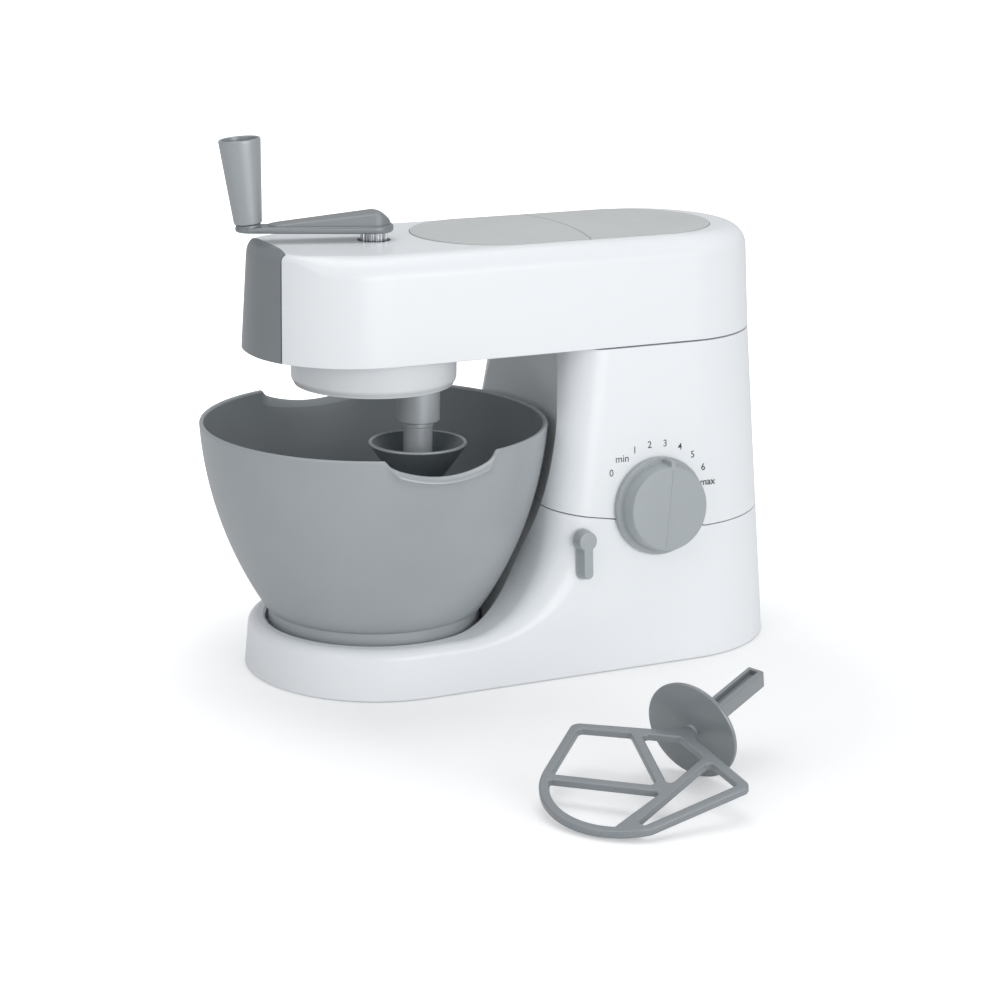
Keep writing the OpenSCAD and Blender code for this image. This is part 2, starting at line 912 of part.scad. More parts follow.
module ring_screws() color(steel) {
    ring_places() translate([0, 0, head_z + wall + ring_flange]) mirror([0, 0, 1])
        screw(ring_flange + wall - slack);
}

module crank_bush() color(nylon) {
    translate([0, 0, bush_z]) difference() {
        cylinder(r = bush_r, h = bush_h - press);
        translate([0, 0, -over]) cylinder(r = shaft_r + running, h = bush_h + 2 * over);
    }
}

module planet_carrier() color(grey) {
    difference() {
        union() {
            translate([0, 0, carrier_z]) cylinder(r = carrier_r, h = carrier_t);
            translate([0, 0, carrier_z]) cylinder(r = shaft_r, h = bush_z + bush_h - carrier_z);
        }
        translate([tool_x, tool_y, carrier_z - over])
            cylinder(r = spindle_r + running, h = carrier_t + 2 * over);
        translate([0, 0, carrier_z - over]) cylinder(r = screw_r + slack, h = far);
        translate([0, 0, carrier_z - over]) cylinder(r = screw_head_r + slack, h = over + screw_head_h);
    }
}

module drive_screw() color(steel) {
    translate([0, 0, carrier_z + screw_head_h]) screw(bush_z + bush_h + crank_post_r - carrier_z);
}

module crank_post() color(steel) {
    z0 = bush_z + bush_h + rest_gap;
    difference() {
        union() {
            translate([0, 0, z0]) cylinder(r = crank_post_r, h = arm_z - z0);
            translate([0, 0, arm_z - eps]) cylinder(r = post_tail_r, h = arm_t + hump_r / 2);
        }
        for (i = [0 : flutes - 1])
            rotate([0, 0, i * 360 / flutes]) translate([crank_post_r, 0, z0 - over])
                cylinder(r = flute_r, h = arm_z - z0 + over);
        translate([0, 0, z0 - over]) cylinder(r = screw_r + press, h = crank_post_r + screw_head_h + 2 * over);
    }
}

// crank

module arm_plan(inset) {
    lean = asin((arm_hub_r - arm_end_r) / crank_len);
    r0 = arm_hub_r - inset;
    r1 = arm_end_r - inset;
    circle(r0);
    translate([crank_len, 0]) circle(r1);
    polygon([polar(r0, 90 - lean), polar(r0, lean - 90), [crank_len, 0] + polar(r1, lean - 90),
        [crank_len, 0] + polar(r1, 90 - lean)]);
}

module on_arm() {
    translate([0, 0, arm_z]) rotate([0, 0, crank_dir]) children();
}

module on_grip() {
    on_arm() translate([crank_len, 0, arm_t]) rotate([0, grip_lean, 0]) children();
}

module crank_arm() color(grey) {
    difference() {
        union() {
            on_arm() linear_extrude(arm_t) arm_plan(0);
            on_arm() intersection() {
                translate([0, 0, arm_t - eps]) linear_extrude(2 * hump_r) arm_plan(hump_inset);
                across(arm_hub_r) {
                    translate([0, arm_t]) circle(hump_r);
                    polygon([[0, 0], [hump_len, 0], [hump_len, arm_t + hump_tip], [0, arm_t + hump_r]]);
                }
            }
            on_grip() translate([0, 0, -arm_t / 2]) cylinder(r = arm_end_r, h = arm_t / 2 + pad_h);
        }
        on_arm() translate([0, 0, -eps]) cylinder(r = post_tail_r + press, h = arm_t + hump_r / 2 + rest_gap);
        on_grip() translate([0, 0, over - arm_t]) cylinder(r = grip_pin_r + press, h = 2 * arm_t);
    }
}

module crank_grip() color(grey) {
    bore_r = grip_r0 - grip_wall + (grip_r1 - grip_r0) * grip_floor / grip_h;
    on_grip() translate([0, 0, pad_h + slack]) difference() {
        cylinder(r1 = grip_r0, r2 = grip_r1, h = grip_h);
        translate([0, 0, grip_floor])
            cylinder(r1 = bore_r, r2 = grip_r1 - grip_wall + eps, h = grip_h - grip_floor + eps);
        translate([0, 0, -over]) cylinder(r = grip_pin_r + running, h = grip_h);
    }
}

module grip_pin() color(steel) {
    on_grip() {
        translate([0, 0, over + rest_gap - arm_t])
            cylinder(r = grip_pin_r, h = arm_t - over + pad_h + grip_floor + 2 * slack);
        translate([0, 0, pad_h + grip_floor + 2 * slack]) cylinder(r = grip_head_r, h = grip_head_h);
    }
}

// tool socket and hook

module at_tool() {
    translate([tool_x, tool_y, 0]) children();
}

module tool_socket() color(silver) {
    top = carrier_z - slack;
    at_tool() difference() {
        union() {
            translate([0, 0, socket_z]) cylinder(r = socket_r, h = top - socket_z);
            translate([0, 0, top - eps]) cylinder(r = spindle_r, h = spindle_top - top);
        }
        translate([0, 0, socket_z - over]) cylinder(r = shank_r + rest_gap, h = top - wall - socket_z + over);
        translate([0, 0, gear_z + gear_t + slack]) difference() {
            cylinder(r = spindle_r + over, h = clip_t);
            translate([0, 0, -over]) cylinder(r = spindle_r - clip_groove, h = clip_t + 2 * over);
        }
    }
}

module planet_clip() color(steel) {
    at_tool() translate([0, 0, gear_z + gear_t + slack + rest_gap]) difference() {
        cylinder(r = clip_r, h = clip_t - 2 * rest_gap);
        translate([0, 0, -over]) cylinder(r = spindle_r - clip_groove + rest_gap, h = clip_t + 2 * over);
        translate([0, -slot_w, -over]) cube([clip_r + over, 2 * slot_w, clip_t + 2 * over]);
    }
}

module dough_hook() color(dark_grey) {
    shank_top = carrier_z - slack - wall - free_gap;
    cone_low = cone_z - cone_h;
    hook_top = hook_z + sqrt(pow(hook_r, 2) - pow(hook_off, 2));
    start = acos(hook_off / hook_r);
    at_tool() {
        difference() {
            translate([0, 0, cone_low]) cylinder(r1 = cone_foot_r, r2 = cone_r, h = cone_h);
            translate([0, 0, cone_low + 2 * cone_wall])
                cylinder(r1 = cone_foot_r - cone_wall, r2 = cone_r - cone_wall + eps,
                    h = cone_h - 2 * cone_wall + eps);
        }
        translate([0, 0, cone_low]) cylinder(r = shank_r - rest_gap, h = shank_top - cone_low);
        translate([0, 0, socket_z - collar_h - slack]) cylinder(r = collar_r, h = collar_h);
        translate([0, 0, hook_top - hook_rod]) cylinder(r = hook_rod, h = cone_low - hook_top + hook_rod + eps);
        rotate([90, 0, hook_dir]) translate([-hook_off, hook_z, 0]) rotate([0, 0, start - hook_end])
            rotate_extrude(angle = hook_end) translate([hook_r, 0]) circle(hook_rod);
        rotate([90, 0, hook_dir]) translate([-hook_off, hook_z, 0]) rotate([0, 0, start - hook_end])
            translate([hook_r, 0, 0]) sphere(hook_rod * hook_swell);
        rotate([90, 0, hook_dir]) translate([0, hook_top, 0]) sphere(hook_rod * hook_swell);
    }
}

// dial

module speed_dial() color(grey) {
    cone_top = dial_h - dial_edge;
    on_wall(dial_x, dial_z) difference() {
        union() {
            rotate_extrude() {
                translate([0, dial_gap]) square([dial_r - dial_edge, dial_skirt_h - dial_gap]);
                translate([0, dial_gap]) square([dial_r, dial_skirt_h - dial_gap - dial_edge]);
                intersection() {
                    translate([dial_r - dial_edge, dial_skirt_h - dial_edge]) circle(dial_edge);
                    translate([dial_r - dial_edge - eps, dial_skirt_h - dial_edge - eps]) square(2 * dial_edge);
                }
                polygon([[0, dial_skirt_h - eps], [dial_step_r, dial_skirt_h - eps],
                    [dial_face_r + dial_edge, cone_top],
                    [dial_face_r, dial_h], [0, dial_h]]);
            }
            rotate([0, 0, pointer_dir])
                translate([dial_face_r - pointer_w / 2, -pointer_w / 2, dial_skirt_h - eps])
                cube([dial_r - dial_face_r, pointer_w, dial_h + pointer_h / 2 - dial_skirt_h]);
            translate([0, 0, -dial_shaft_len]) cylinder(r = dial_shaft_r, h = dial_shaft_len + over);
        }
        translate([0, 0, -dial_shaft_len - eps]) cylinder(r = screw_r + press, h = dial_shaft_len);
    }
}

module dial_star() color(nylon) {
    on_wall(dial_x, dial_z) translate([0, 0, star_z]) difference() {
        cylinder(r = star_r, h = star_t);
        for (i = [0 : stops - 1])
            rotate([0, 0, 90 + (i - (stops - 1) / 2) * stop_step]) translate([star_r, 0, -over])
                cylinder(r = notch_r, h = star_t + 2 * over);
        translate([0, 0, -over]) cylinder(r = dial_shaft_r + press, h = star_t + 2 * over);
    }
}

module dial_screw() color(steel) {
    on_wall(dial_x, dial_z) translate([0, 0, -dial_shaft_len])
        screw(dial_shaft_len - over, screw_r, dial_shaft_r + over);
}

module detent_spring() color(steel) {
    on_wall(dial_x, dial_z) translate([0, leaf_y, star_z]) difference() {
        union() {
            translate([-leaf_half, -leaf_t / 2, 0]) cube([2 * leaf_half, leaf_t, leaf_w]);
            for (s = [-1, 1])
                translate([s * (leaf_half - leaf_w), 0, 0]) cylinder(r = leaf_post_r + leaf_t, h = leaf_w);
        }
        for (s = [-1, 1])
            translate([s * (leaf_half - leaf_w), 0, -over])
                cylinder(r = leaf_post_r + press, h = leaf_w + 2 * over);
    }
}

// bowl

module bowl_outline(inset, z0, z1) {
    intersection() {
        translate([arc_x, arc_z]) circle(arc_r - inset, $fn = fine_fn);
        translate([0, z0]) square([far, z1 - z0]);
    }
}

module bowl_solid() {
    rotate_extrude() {
        bowl_outline(0, foot_step, bowl_top);
        translate([0, foot_z]) square([foot_r, foot_step - foot_z + eps]);
    }
}

module notch_cut(a) {
    rotate([0, 0, a - notch_half]) rotate_extrude(angle = 2 * notch_half)
        translate([bowl_r - 6 * bowl_wall, notch_z]) square([12 * bowl_wall, 2 * notch_h]);
}

module notch_lip(a) {
    lip_x = bowl_arc(notch_z - lip_r) + lip_r / 2;
    half = notch_half - lip_short;
    rotate([0, 0, a - half]) rotate_extrude(angle = 2 * half) difference() {
        translate([lip_x, notch_z - lip_r]) circle(lip_r);
        translate([0, 0]) square([bowl_arc(notch_z) - bowl_wall / 2, far]);
    }
}

module mixing_bowl() color(silver) {
    inner_z = foot_z + floor_t;
    difference() {
        bowl_solid();
        rotate_extrude() bowl_outline(bowl_wall, inner_z, bowl_top + over);
        notch_cut(90);
        notch_cut(-90);
    }
    notch_lip(90);
    notch_lip(-90);
}

// K-beater

module bar(a, b) {
    d = b - a;
    translate(a) rotate([0, 0, atan2(d[1], d[0])]) translate([0, -bar_w / 2]) square([norm(d), bar_w]);
    translate(a) circle(bar_w * bar_joint);
    translate(b) circle(bar_w * bar_joint);
}

module beater_plan() {
    edge = bar_w / 2;
    w = beater_w - edge;
    tip = [0, edge + tip_r - beater_h];
    side = [waist_w - edge, -waist_z];
    half = atan2(side[1] - tip[1], side[0]);
    for (s = [-1, 1]) {
        bar([0, -arm_root_z], [s * w, -shoulder_z]);
        bar([s * w, -shoulder_z], [s * tip_r * cos(half), tip[1] + tip_r * sin(half)]);
    }
    translate(tip) difference() {
        circle(tip_r + edge);
        circle(tip_r - edge);
        polygon([[0, 0], far * [cos(half), sin(half)], far * [1, 1], far * [-1, 1],
            far * [-cos(half), sin(half)]]);
    }
    joint = [spine_x - edge, -k_joint_z];
    bar([spine_x, -arm_root_z - edge * 2], [spine_x, tip[1] - sqrt(pow(tip_r, 2) - pow(spine_x, 2))]);
    bar(joint, [k_arm_x, -k_arm_z]);
    bar(joint, [k_leg_x, -k_leg_z]);
}

module k_beater() color(dark_grey) {
    half_s = shank_side / 2;
    translate([beater_x, beater_y, beater_lift]) rotate([0, 0, beater_turn]) rotate([0, beater_pitch - 90, 0])
        rotate([0, 0, 90 + beater_roll]) {
        translate([0, bar_t / 2, 0]) rotate([90, 0, 0]) linear_extrude(bar_t) beater_plan();
        translate([0, 0, -disc_t / 2]) cylinder(r = disc_r, h = disc_t);
        translate([0, 0, -arm_root_z]) cylinder(r = bar_w, h = arm_root_z);
        difference() {
            translate([-half_s, -half_s, 0]) cube([shank_side, shank_side, shank_len]);
            for (s = [-1, 1])
                translate([-shank_slot_w / 2, s * half_s - shank_slot_d, 2 * disc_t])
                    cube([shank_slot_w, 2 * shank_slot_d, shank_len - 5 * disc_t]);
            translate([0, span, shank_len - 2 * disc_t]) rotate([90, 0, 0]) cylinder(r = shank_hole_r, h = far);
        }
    }
}

pedestal_shell();
base_plate();
grip_pads();
base_screws();
hinge_pin();
lift_lever();
lever_pawl();
lever_screw();
column_shell();
column_front();
column_screws();
head_shell();
head_underside();
head_skirt();
underside_screws();
nose_cover();
front_panel();
rear_panel();
ring_gear();
ring_screws();
crank_bush();
detent_spring();
speed_dial();
dial_star();
dial_screw();
crank_arm();
crank_post();
planet_carrier();
drive_screw();
grip_pin();
crank_grip();
planet_gear();
tool_socket();
planet_clip();
dough_hook();
mixing_bowl();
k_beater();
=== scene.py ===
# %% [markdown]
# # A toy stand mixer, shaped piece by piece
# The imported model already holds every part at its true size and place, with its joints.
# This lesson gives the parts that are seen soft edges, real surfaces and light.
# All sizes are in millimetres, and each mesh is scaled to metres as its last step.

import math

import bmesh
import bpy
from mathutils import Matrix, Vector


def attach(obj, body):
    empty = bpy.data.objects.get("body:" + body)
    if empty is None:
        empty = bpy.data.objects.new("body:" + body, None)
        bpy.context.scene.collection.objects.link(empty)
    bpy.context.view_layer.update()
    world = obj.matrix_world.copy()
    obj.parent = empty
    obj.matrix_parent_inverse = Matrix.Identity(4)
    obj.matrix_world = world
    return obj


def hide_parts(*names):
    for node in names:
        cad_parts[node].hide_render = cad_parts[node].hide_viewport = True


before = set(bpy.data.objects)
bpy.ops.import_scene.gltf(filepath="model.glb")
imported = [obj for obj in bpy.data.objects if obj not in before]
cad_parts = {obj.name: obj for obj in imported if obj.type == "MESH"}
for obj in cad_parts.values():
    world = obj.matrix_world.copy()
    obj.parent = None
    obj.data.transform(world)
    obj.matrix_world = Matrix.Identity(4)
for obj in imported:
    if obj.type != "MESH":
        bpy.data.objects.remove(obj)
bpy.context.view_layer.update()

# %% [markdown]
# ## Shared sizes
# The side walls of the base and the column lean inwards, so their half-width depends on the height.
# The bowl, the crank and the round skirt share one upright axis at the origin.

# %% Sizes
MM = 0.001
BASE_R, COLUMN_R, REAR_X = 66.0, 53.0, 150.0
HEAD_Z, HEAD_TOP, NOSE_X = 161.5, 213.0, 11.5
WALL_SLOPE = (BASE_R - COLUMN_R) / HEAD_Z
DRAFT = math.atan(WALL_SLOPE)
SWEEP_X, SWEEP_Z, SWEEP_R, LEAN = 20.2, 77.0, 52.0, math.radians(8)
RIM_R, CORNER_R, BASE_TOP, EDGE_LIFT = 5.0, 18.0, 25.0, 0.6
BOWL_TOP, BOWL_ARC, BOWL_R, BOWL_WALL = 124.4, 189.5, 85.4, 2.2
FOOT_R, SEAT_R, ARC_RISE = 52.6, 54.4, 11.2
ARC_Z = BOWL_TOP + ARC_RISE
ARC_X = BOWL_R - math.sqrt(BOWL_ARC**2 - ARC_RISE**2)
SPLIT_FRONT, SPLIT_REAR, SPLIT_GAP = (67.0, 83.0), (155.0, 68.0), 0.3
TOOL_ORBIT, TOOL_TURN = 22.5, math.radians(-40)
TOOL = (TOOL_ORBIT * math.cos(TOOL_TURN), TOOL_ORBIT * math.sin(TOOL_TURN))
HINGE = (204.526, 68.0)
DIAL, LEVER = (127.6, 81.3), (85.0, 68.7)
CRANK_DIR, CRANK_LEN, GRIP_LEAN = math.radians(166), 60.5, math.radians(5.2)


def half_w(z):
    return BASE_R - WALL_SLOPE * z


def bowl_arc(z, inset=0.0):
    return ARC_X + math.sqrt((BOWL_ARC - inset) ** 2 - (z - ARC_Z) ** 2)


def arc(cx, cy, r, a0, a1, n):
    steps = [math.radians(a0 + (a1 - a0) * i / n) for i in range(n + 1)]
    return [(cx + r * math.cos(a), cy + r * math.sin(a)) for a in steps]


def circle(r, z, n):
    return [(x, y, z) for x, y in arc(0, 0, r, 0, 360, n)[:-1]]


def smooth(t):
    """Eases from 0 to 1."""
    t = min(1.0, max(0.0, t))
    return t * t * (3 - 2 * t)


# %% [markdown]
# ## Materials
# One function turns a web colour into linear light and one adds a node.
# Each moulded surface gets a slow drift of colour, a drift of gloss and a fine grain in relief.
# The scales come from real sizes: a grain of half a millimetre repeats 2000 times a metre.


# %% Materials
COAT_ROUGH = 0.22


def linear(hex_colour):
    parts = [int(hex_colour[i : i + 2], 16) / 255 for i in (1, 3, 5)]
    return [c / 12.92 if c <= 0.04045 else ((c + 0.055) / 1.055) ** 2.4 for c in parts] + [1.0]


def add_node(tree, kind, **inputs):
    node = tree.nodes.new(kind)
    for name, value in inputs.items():
        node.inputs[name.replace("_", " ")].default_value = value
    return node


def moulded(
    name, colour, rough, grain_mm=0.5, relief=0.04, metal=0.0, drift=0.05, coat=0.0, cloud_mm=30
):
    mat = bpy.data.materials.new(name)
    mat.use_nodes = True
    tree = mat.node_tree
    shader = tree.nodes["Principled BSDF"]
    shader.inputs["Metallic"].default_value = metal
    shader.inputs["Coat Weight"].default_value = coat
    shader.inputs["Coat Roughness"].default_value = COAT_ROUGH
    where = tree.nodes.new("ShaderNodeTexCoord")
    cloud = add_node(tree, "ShaderNodeTexNoise", Scale=1 / (cloud_mm * MM), Detail=3.0, Roughness=0.5)
    grain = add_node(tree, "ShaderNodeTexNoise", Scale=1 / (grain_mm * MM), Detail=2.0, Roughness=0.6)
    for noise in (cloud, grain):
        tree.links.new(where.outputs["Object"], noise.inputs["Vector"])
    tint = tree.nodes.new("ShaderNodeMix")
    tint.data_type = "RGBA"
    base = linear(colour)
    tint.inputs["A"].default_value = [c * (1 - drift) for c in base[:3]] + [1.0]
    tint.inputs["B"].default_value = [min(1.0, c * (1 + drift)) for c in base[:3]] + [1.0]
    tree.links.new(cloud.outputs["Fac"], tint.inputs["Factor"])
    tree.links.new(tint.outputs["Result"], shader.inputs["Base Color"])
    gloss = add_node(tree, "ShaderNodeMapRange", To_Min=rough * 0.85, To_Max=rough * 1.15)
    tree.links.new(grain.outputs["Fac"], gloss.inputs["Value"])
    tree.links.new(gloss.outputs["Result"], shader.inputs["Roughness"])
    bump = add_node(tree, "ShaderNodeBump", Strength=relief, Distance=grain_mm * MM * 0.2)
    tree.links.new(grain.outputs["Fac"], bump.inputs["Height"])
    tree.links.new(bump.outputs["Normal"], shader.inputs["Normal"])
    return mat


white = moulded(
    "gloss_white_abs_moulded", "#eef1f3", 0.3, relief=0.02, drift=0.01, coat=0.12, cloud_mm=60
)
cover_grey = moulded("satin_grey_abs_nose_cover", "#858a8d", 0.32, relief=0.08, metal=0.2)
arm_grey = moulded("satin_grey_abs_crank", "#888d90", 0.36, relief=0.08, metal=0.3)
grip_grey = moulded("satin_silver_grey_abs_grip", "#a9aeb1", 0.36, relief=0.08, metal=0.4)
panel_grey = moulded("satin_pale_grey_abs_panels", "#c9cccb", 0.38, relief=0.05)
dial_grey = moulded("satin_light_grey_abs_dial", "#a6acae", 0.34, relief=0.06)
bowl_silver = moulded(
    "metallic_filled_silver_plastic_bowl", "#a7acaf", 0.38, grain_mm=0.25, relief=0.06, metal=0.25
)
bowl_inner = moulded("satin_grey_plastic_bowl_inside", "#8d9295", 0.42, grain_mm=0.25, relief=0.06)
# The socket grey also paints a highlight along the rim of the hook's cone cup.
socket_grey_and_rim_highlight = moulded(
    "metallic_filled_grey_plastic_socket_and_hook_rim_highlight", "#c4c9cc", 0.34, grain_mm=0.3, relief=0.05, metal=0.3
)
tool_dark = moulded("satin_dark_grey_plastic_hook", "#70777b", 0.34, relief=0.08)
beater_grey = moulded("satin_grey_plastic_beater", "#8e9396", 0.3, relief=0.08, metal=0.2)
zinc = moulded(
    "bright_zinc_plated_steel_turned", "#c3c5c8", 0.28, grain_mm=0.2, relief=0.05, metal=1.0
)
nylon = moulded("natural_nylon_moulded", "#d9d2bf", 0.5, relief=0.05)
rubber = moulded("pale_grey_rubber_pressed", "#bdbcb7", 0.75, grain_mm=0.7, relief=0.15)
ink = moulded("dark_grey_ink_pad_printed", "#3a3f43", 0.5, grain_mm=0.1, relief=0.02)

CAD_LOOKS = {
    zinc: ("base_screws", "hinge_pin", "lever_screw", "column_screws", "underside_screws", "ring_screws")
    + ("detent_spring", "dial_screw", "drive_screw", "grip_pin", "planet_clip"),
    nylon: ("lever_pawl", "ring_gear", "crank_bush", "dial_star", "planet_gear"),
    rubber: ("grip_pads",),
    panel_grey: ("base_plate",),
    arm_grey: ("planet_carrier",),
}
for look, names in CAD_LOOKS.items():
    for name in names:
        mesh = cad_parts[name].data
        mesh.materials.clear()
        mesh.materials.append(look)

# %% [markdown]
# ## Helpers
# `piece` turns a finished bmesh into an object.
# It points the normals out, scales to metres and smooths where the bend is gentle.
# `loft` skins a stack of rings and `lathe` spins an outline round an axis.
# `track` draws the long rounded plan that the head and the panels share.
# `cut_away` takes one solid out of another, and `wall_frame` finds a place on the leaning side wall.


# %% Helpers
def add_object(name, data):
    obj = bpy.data.objects.new(name, data)
    bpy.context.scene.collection.objects.link(obj)
    return obj


def piece(bm, name, body, look, stands_for=(), angle=32, place=None):
    bmesh.ops.remove_doubles(bm, verts=bm.verts, dist=0.002)
    bmesh.ops.recalc_face_normals(bm, faces=bm.faces)
    if place is not None:
        bmesh.ops.transform(bm, matrix=place, verts=bm.verts)
    bmesh.ops.scale(bm, vec=(MM, MM, MM), verts=bm.verts)
    mesh = bpy.data.meshes.new(name)
    bm.to_mesh(mesh)
    bm.free()
    mesh.shade_smooth()
    mesh.set_sharp_from_angle(angle=math.radians(angle))
    for mat in look if isinstance(look, (list, tuple)) else [look]:
        mesh.materials.append(mat)
    obj = add_object(name, mesh)
    even = obj.modifiers.new("even_shading", "WEIGHTED_NORMAL")
    even.keep_sharp = True
    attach(obj, body)
    if stands_for:
        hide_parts(*stands_for)


def ring(bm, points):
    return [bm.verts.new(p) for p in points]


def hoop(bm, loop):
    """The edges that join a ring of points into a closed line."""
    return [bm.edges.new((v, loop[(i + 1) % len(loop)])) for i, v in enumerate(loop)]


def new_verts(result):
    return [v for v in result["geom"] if isinstance(v, bmesh.types.BMVert)]


def loft(bm, rings, close=True):
    n = len(rings[0])
    for low, high in zip(rings, rings[1:]):
        for i in range(n if close else n - 1):
            j = (i + 1) % n
            bm.faces.new((low[i], low[j], high[j], high[i]))


def lathe(bm, outline, steps=128, close=False):
    verts = [bm.verts.new((r, 0, z)) for r, z in outline]
    edges = [bm.edges.new(pair) for pair in zip(verts, verts[1:])]
    if close:
        edges.append(bm.edges.new((verts[-1], verts[0])))
    turn = {"cent": (0, 0, 0), "axis": (0, 0, 1), "angle": math.tau}
    bmesh.ops.spin(bm, geom=verts + edges, steps=steps, use_merge=True, **turn)
    bmesh.ops.remove_doubles(bm, verts=bm.verts, dist=0.004)


def track(r, z, xa, xb, n=40):
    rear = [(x, y, z) for x, y in arc(xb, 0, r, -90, 90, n)]
    return rear + [(x, y, z) for x, y in arc(xa, 0, r, 90, 270, n)]


def soften(bm, edges, width, segments=3):
    how = {"affect": "EDGES", "profile": 0.5, "material": -1, "clamp_overlap": True}
    bmesh.ops.bevel(bm, geom=edges, offset=width, segments=segments, **how)


def rounded(points, radius, n=5):
    """Rounds the corners of a closed plan."""
    out = []
    for i, p in enumerate(points):
        p, a, b = Vector(p), Vector(points[i - 1]), Vector(points[(i + 1) % len(points)])
        u, v = (a - p).normalized(), (b - p).normalized()
        half = u.angle(v) / 2
        r = radius if not isinstance(radius, (list, tuple)) else radius[i]
        cut = min(r / math.tan(half), 0.45 * min((a - p).length, (b - p).length))
        r = cut * math.tan(half)
        centre = p + (u + v).normalized() * (r / math.sin(half))
        start, end = p + u * cut - centre, p + v * cut - centre
        for k in range(n + 1):
            mix = start.lerp(end, k / n)
            out.append(tuple(centre + mix.normalized() * r))
    return out


def from_curve(curve):
    """The surface of a curve or a text, ready to be shaped further."""
    temp = bpy.data.objects.new("curve_temp", curve)
    bm = bmesh.new()
    bm.from_mesh(temp.to_mesh())
    temp.to_mesh_clear()
    bpy.data.objects.remove(temp)
    return bm


def cut_away(bm, tool):
    """Takes the solid `tool` out of the solid `bm` and returns the rest."""
    objs = []
    for source, name in ((bm, "cut_body"), (tool, "cut_tool")):
        bmesh.ops.recalc_face_normals(source, faces=source.faces)
        mesh = bpy.data.meshes.new(name)
        source.to_mesh(mesh)
        source.free()
        objs.append(add_object(name, mesh))
    cut = objs[0].modifiers.new("cut", "BOOLEAN")
    cut.operation, cut.solver, cut.object = "DIFFERENCE", "EXACT", objs[1]
    seen = objs[0].evaluated_get(bpy.context.evaluated_depsgraph_get())
    out = bmesh.new()
    out.from_mesh(seen.to_mesh())
    seen.to_mesh_clear()
    for obj in objs:
        mesh = obj.data
        bpy.data.objects.remove(obj)
        bpy.data.meshes.remove(mesh)
    return out


def wall_frame(x, z):
    """A place on the near side wall, with its own Z pointing straight out."""
    turn = Matrix.Rotation(math.pi / 2 - DRAFT, 4, "X")
    return Matrix.Translation((x, -half_w(z), z)) @ turn


# %% [markdown]
# ## Base and column
# The body is one swept form, later parted along its sloping split line.
# We walk down the front line of the column, round the sweep and along the rim of the base.
# At each stop we draw a round corner: tight along the rim of the base, and broader as it climbs the column.


# %% Swept body
def corner(r, n=12):
    turns = [math.pi / 2 * i / n for i in range(n + 1)]
    return [(r * (1 - math.sin(t)), r * (1 - math.cos(t))) for t in turns]


NOSE_FLAT, UPRIGHT_STOPS, SWEEP_STOPS, ROUND_STOPS = 0.975, 9, 48, 64


def swept_body(top=175.0):
    bm = bmesh.new()
    lean_x, lean_z = SWEEP_X + SWEEP_R * math.cos(LEAN), SWEEP_Z - SWEEP_R * math.sin(LEAN)
    stops = []
    for i in range(UPRIGHT_STOPS):
        z = top + (lean_z - top) * i / UPRIGHT_STOPS
        x = lean_x + (z - lean_z) * math.tan(LEAN)
        stops.append((x, z, math.cos(LEAN), -math.sin(LEAN), CORNER_R))
    for i in range(SWEEP_STOPS + 1):
        a = -LEAN + (LEAN - math.pi / 2) * i / SWEEP_STOPS
        place = SWEEP_X + SWEEP_R * math.cos(a), SWEEP_Z + SWEEP_R * math.sin(a)
        ease = (1 + math.cos(math.pi * i / SWEEP_STOPS)) / 2
        stops.append((*place, math.cos(a), math.sin(a), RIM_R + (CORNER_R - RIM_R) * ease))
    stops.append((0.0, BASE_TOP, 0.0, -1.0, RIM_R))
    bands = {}
    for side in (-1, 1):
        rows = []
        for x, z, mx, mz, r in stops:
            row = []
            for d, e in corner(r):
                h = z + d * mz
                row.append(bm.verts.new((x + d * mx, side * (half_w(h) - e), h)))
            rows.append(row)
        bands[side] = rows
        loft(bm, rows, close=False)
    for near, far, near2, far2 in zip(bands[-1], bands[1], bands[-1][1:], bands[1][1:]):
        bm.faces.new((near[-1], far[-1], far2[-1], near2[-1]))
    nose = [bands[-1][-1]]
    for i in range(1, ROUND_STOPS):
        a = math.radians(-90 - 180 * i / ROUND_STOPS)
        row = []
        for d, e in corner(RIM_R):
            r = half_w(BASE_TOP - d) - e
            row.append(bm.verts.new((r * math.cos(a) * NOSE_FLAT, r * math.sin(a), BASE_TOP - d)))
        nose.append(row)
    nose.append(bands[1][-1])
    loft(bm, nose, close=False)
    bm.faces.new([row[-1] for row in nose])
    low_nose = []
    for row in nose:
        x, y, _ = row[0].co
        grow = half_w(EDGE_LIFT) / math.hypot(x / NOSE_FLAT, y)
        low_nose.append(bm.verts.new((x * grow, y * grow, EDGE_LIFT)))
    loft(bm, [low_nose, [row[0] for row in nose]], close=False)
    low_rear, high_rear = [], []
    for x, y in arc(0, 0, 1, -90, 90, ROUND_STOPS):
        for row, z in ((low_rear, EDGE_LIFT), (high_rear, top)):
            row.append(bm.verts.new((REAR_X + x * half_w(z), y * half_w(z), z)))
    loft(bm, [low_rear, high_rear], close=False)
    bm.faces.new([row[0] for row in bands[-1]] + [low_nose[0], low_rear[0], high_rear[0]])
    bm.faces.new([row[0] for row in bands[1]] + [low_nose[-1], low_rear[-1], high_rear[-1]])
    bottom = bm.faces.new(list(reversed(low_nose)) + low_rear)
    bm.faces.new(high_rear + list(reversed(bands[1][0])) + bands[-1][0])
    soften(bm, list(bottom.edges), 0.7, 2)
    return bm


# %% [markdown]
# The bowl needs room: a round seat in the base, and a hollow in the column that follows its curve.
# We turn one solid for both and take it out of the body.
# A second solid parts the body along the split line.
# Behind the hinge the column's heel is cut back at 45 degrees, to clear the base when the head tilts.


# %% Seat and split
SEAT_Z, SEAT_TOP, ROOM, ROOM_TOP = 17.95, 24.3, 4.4, 190.0


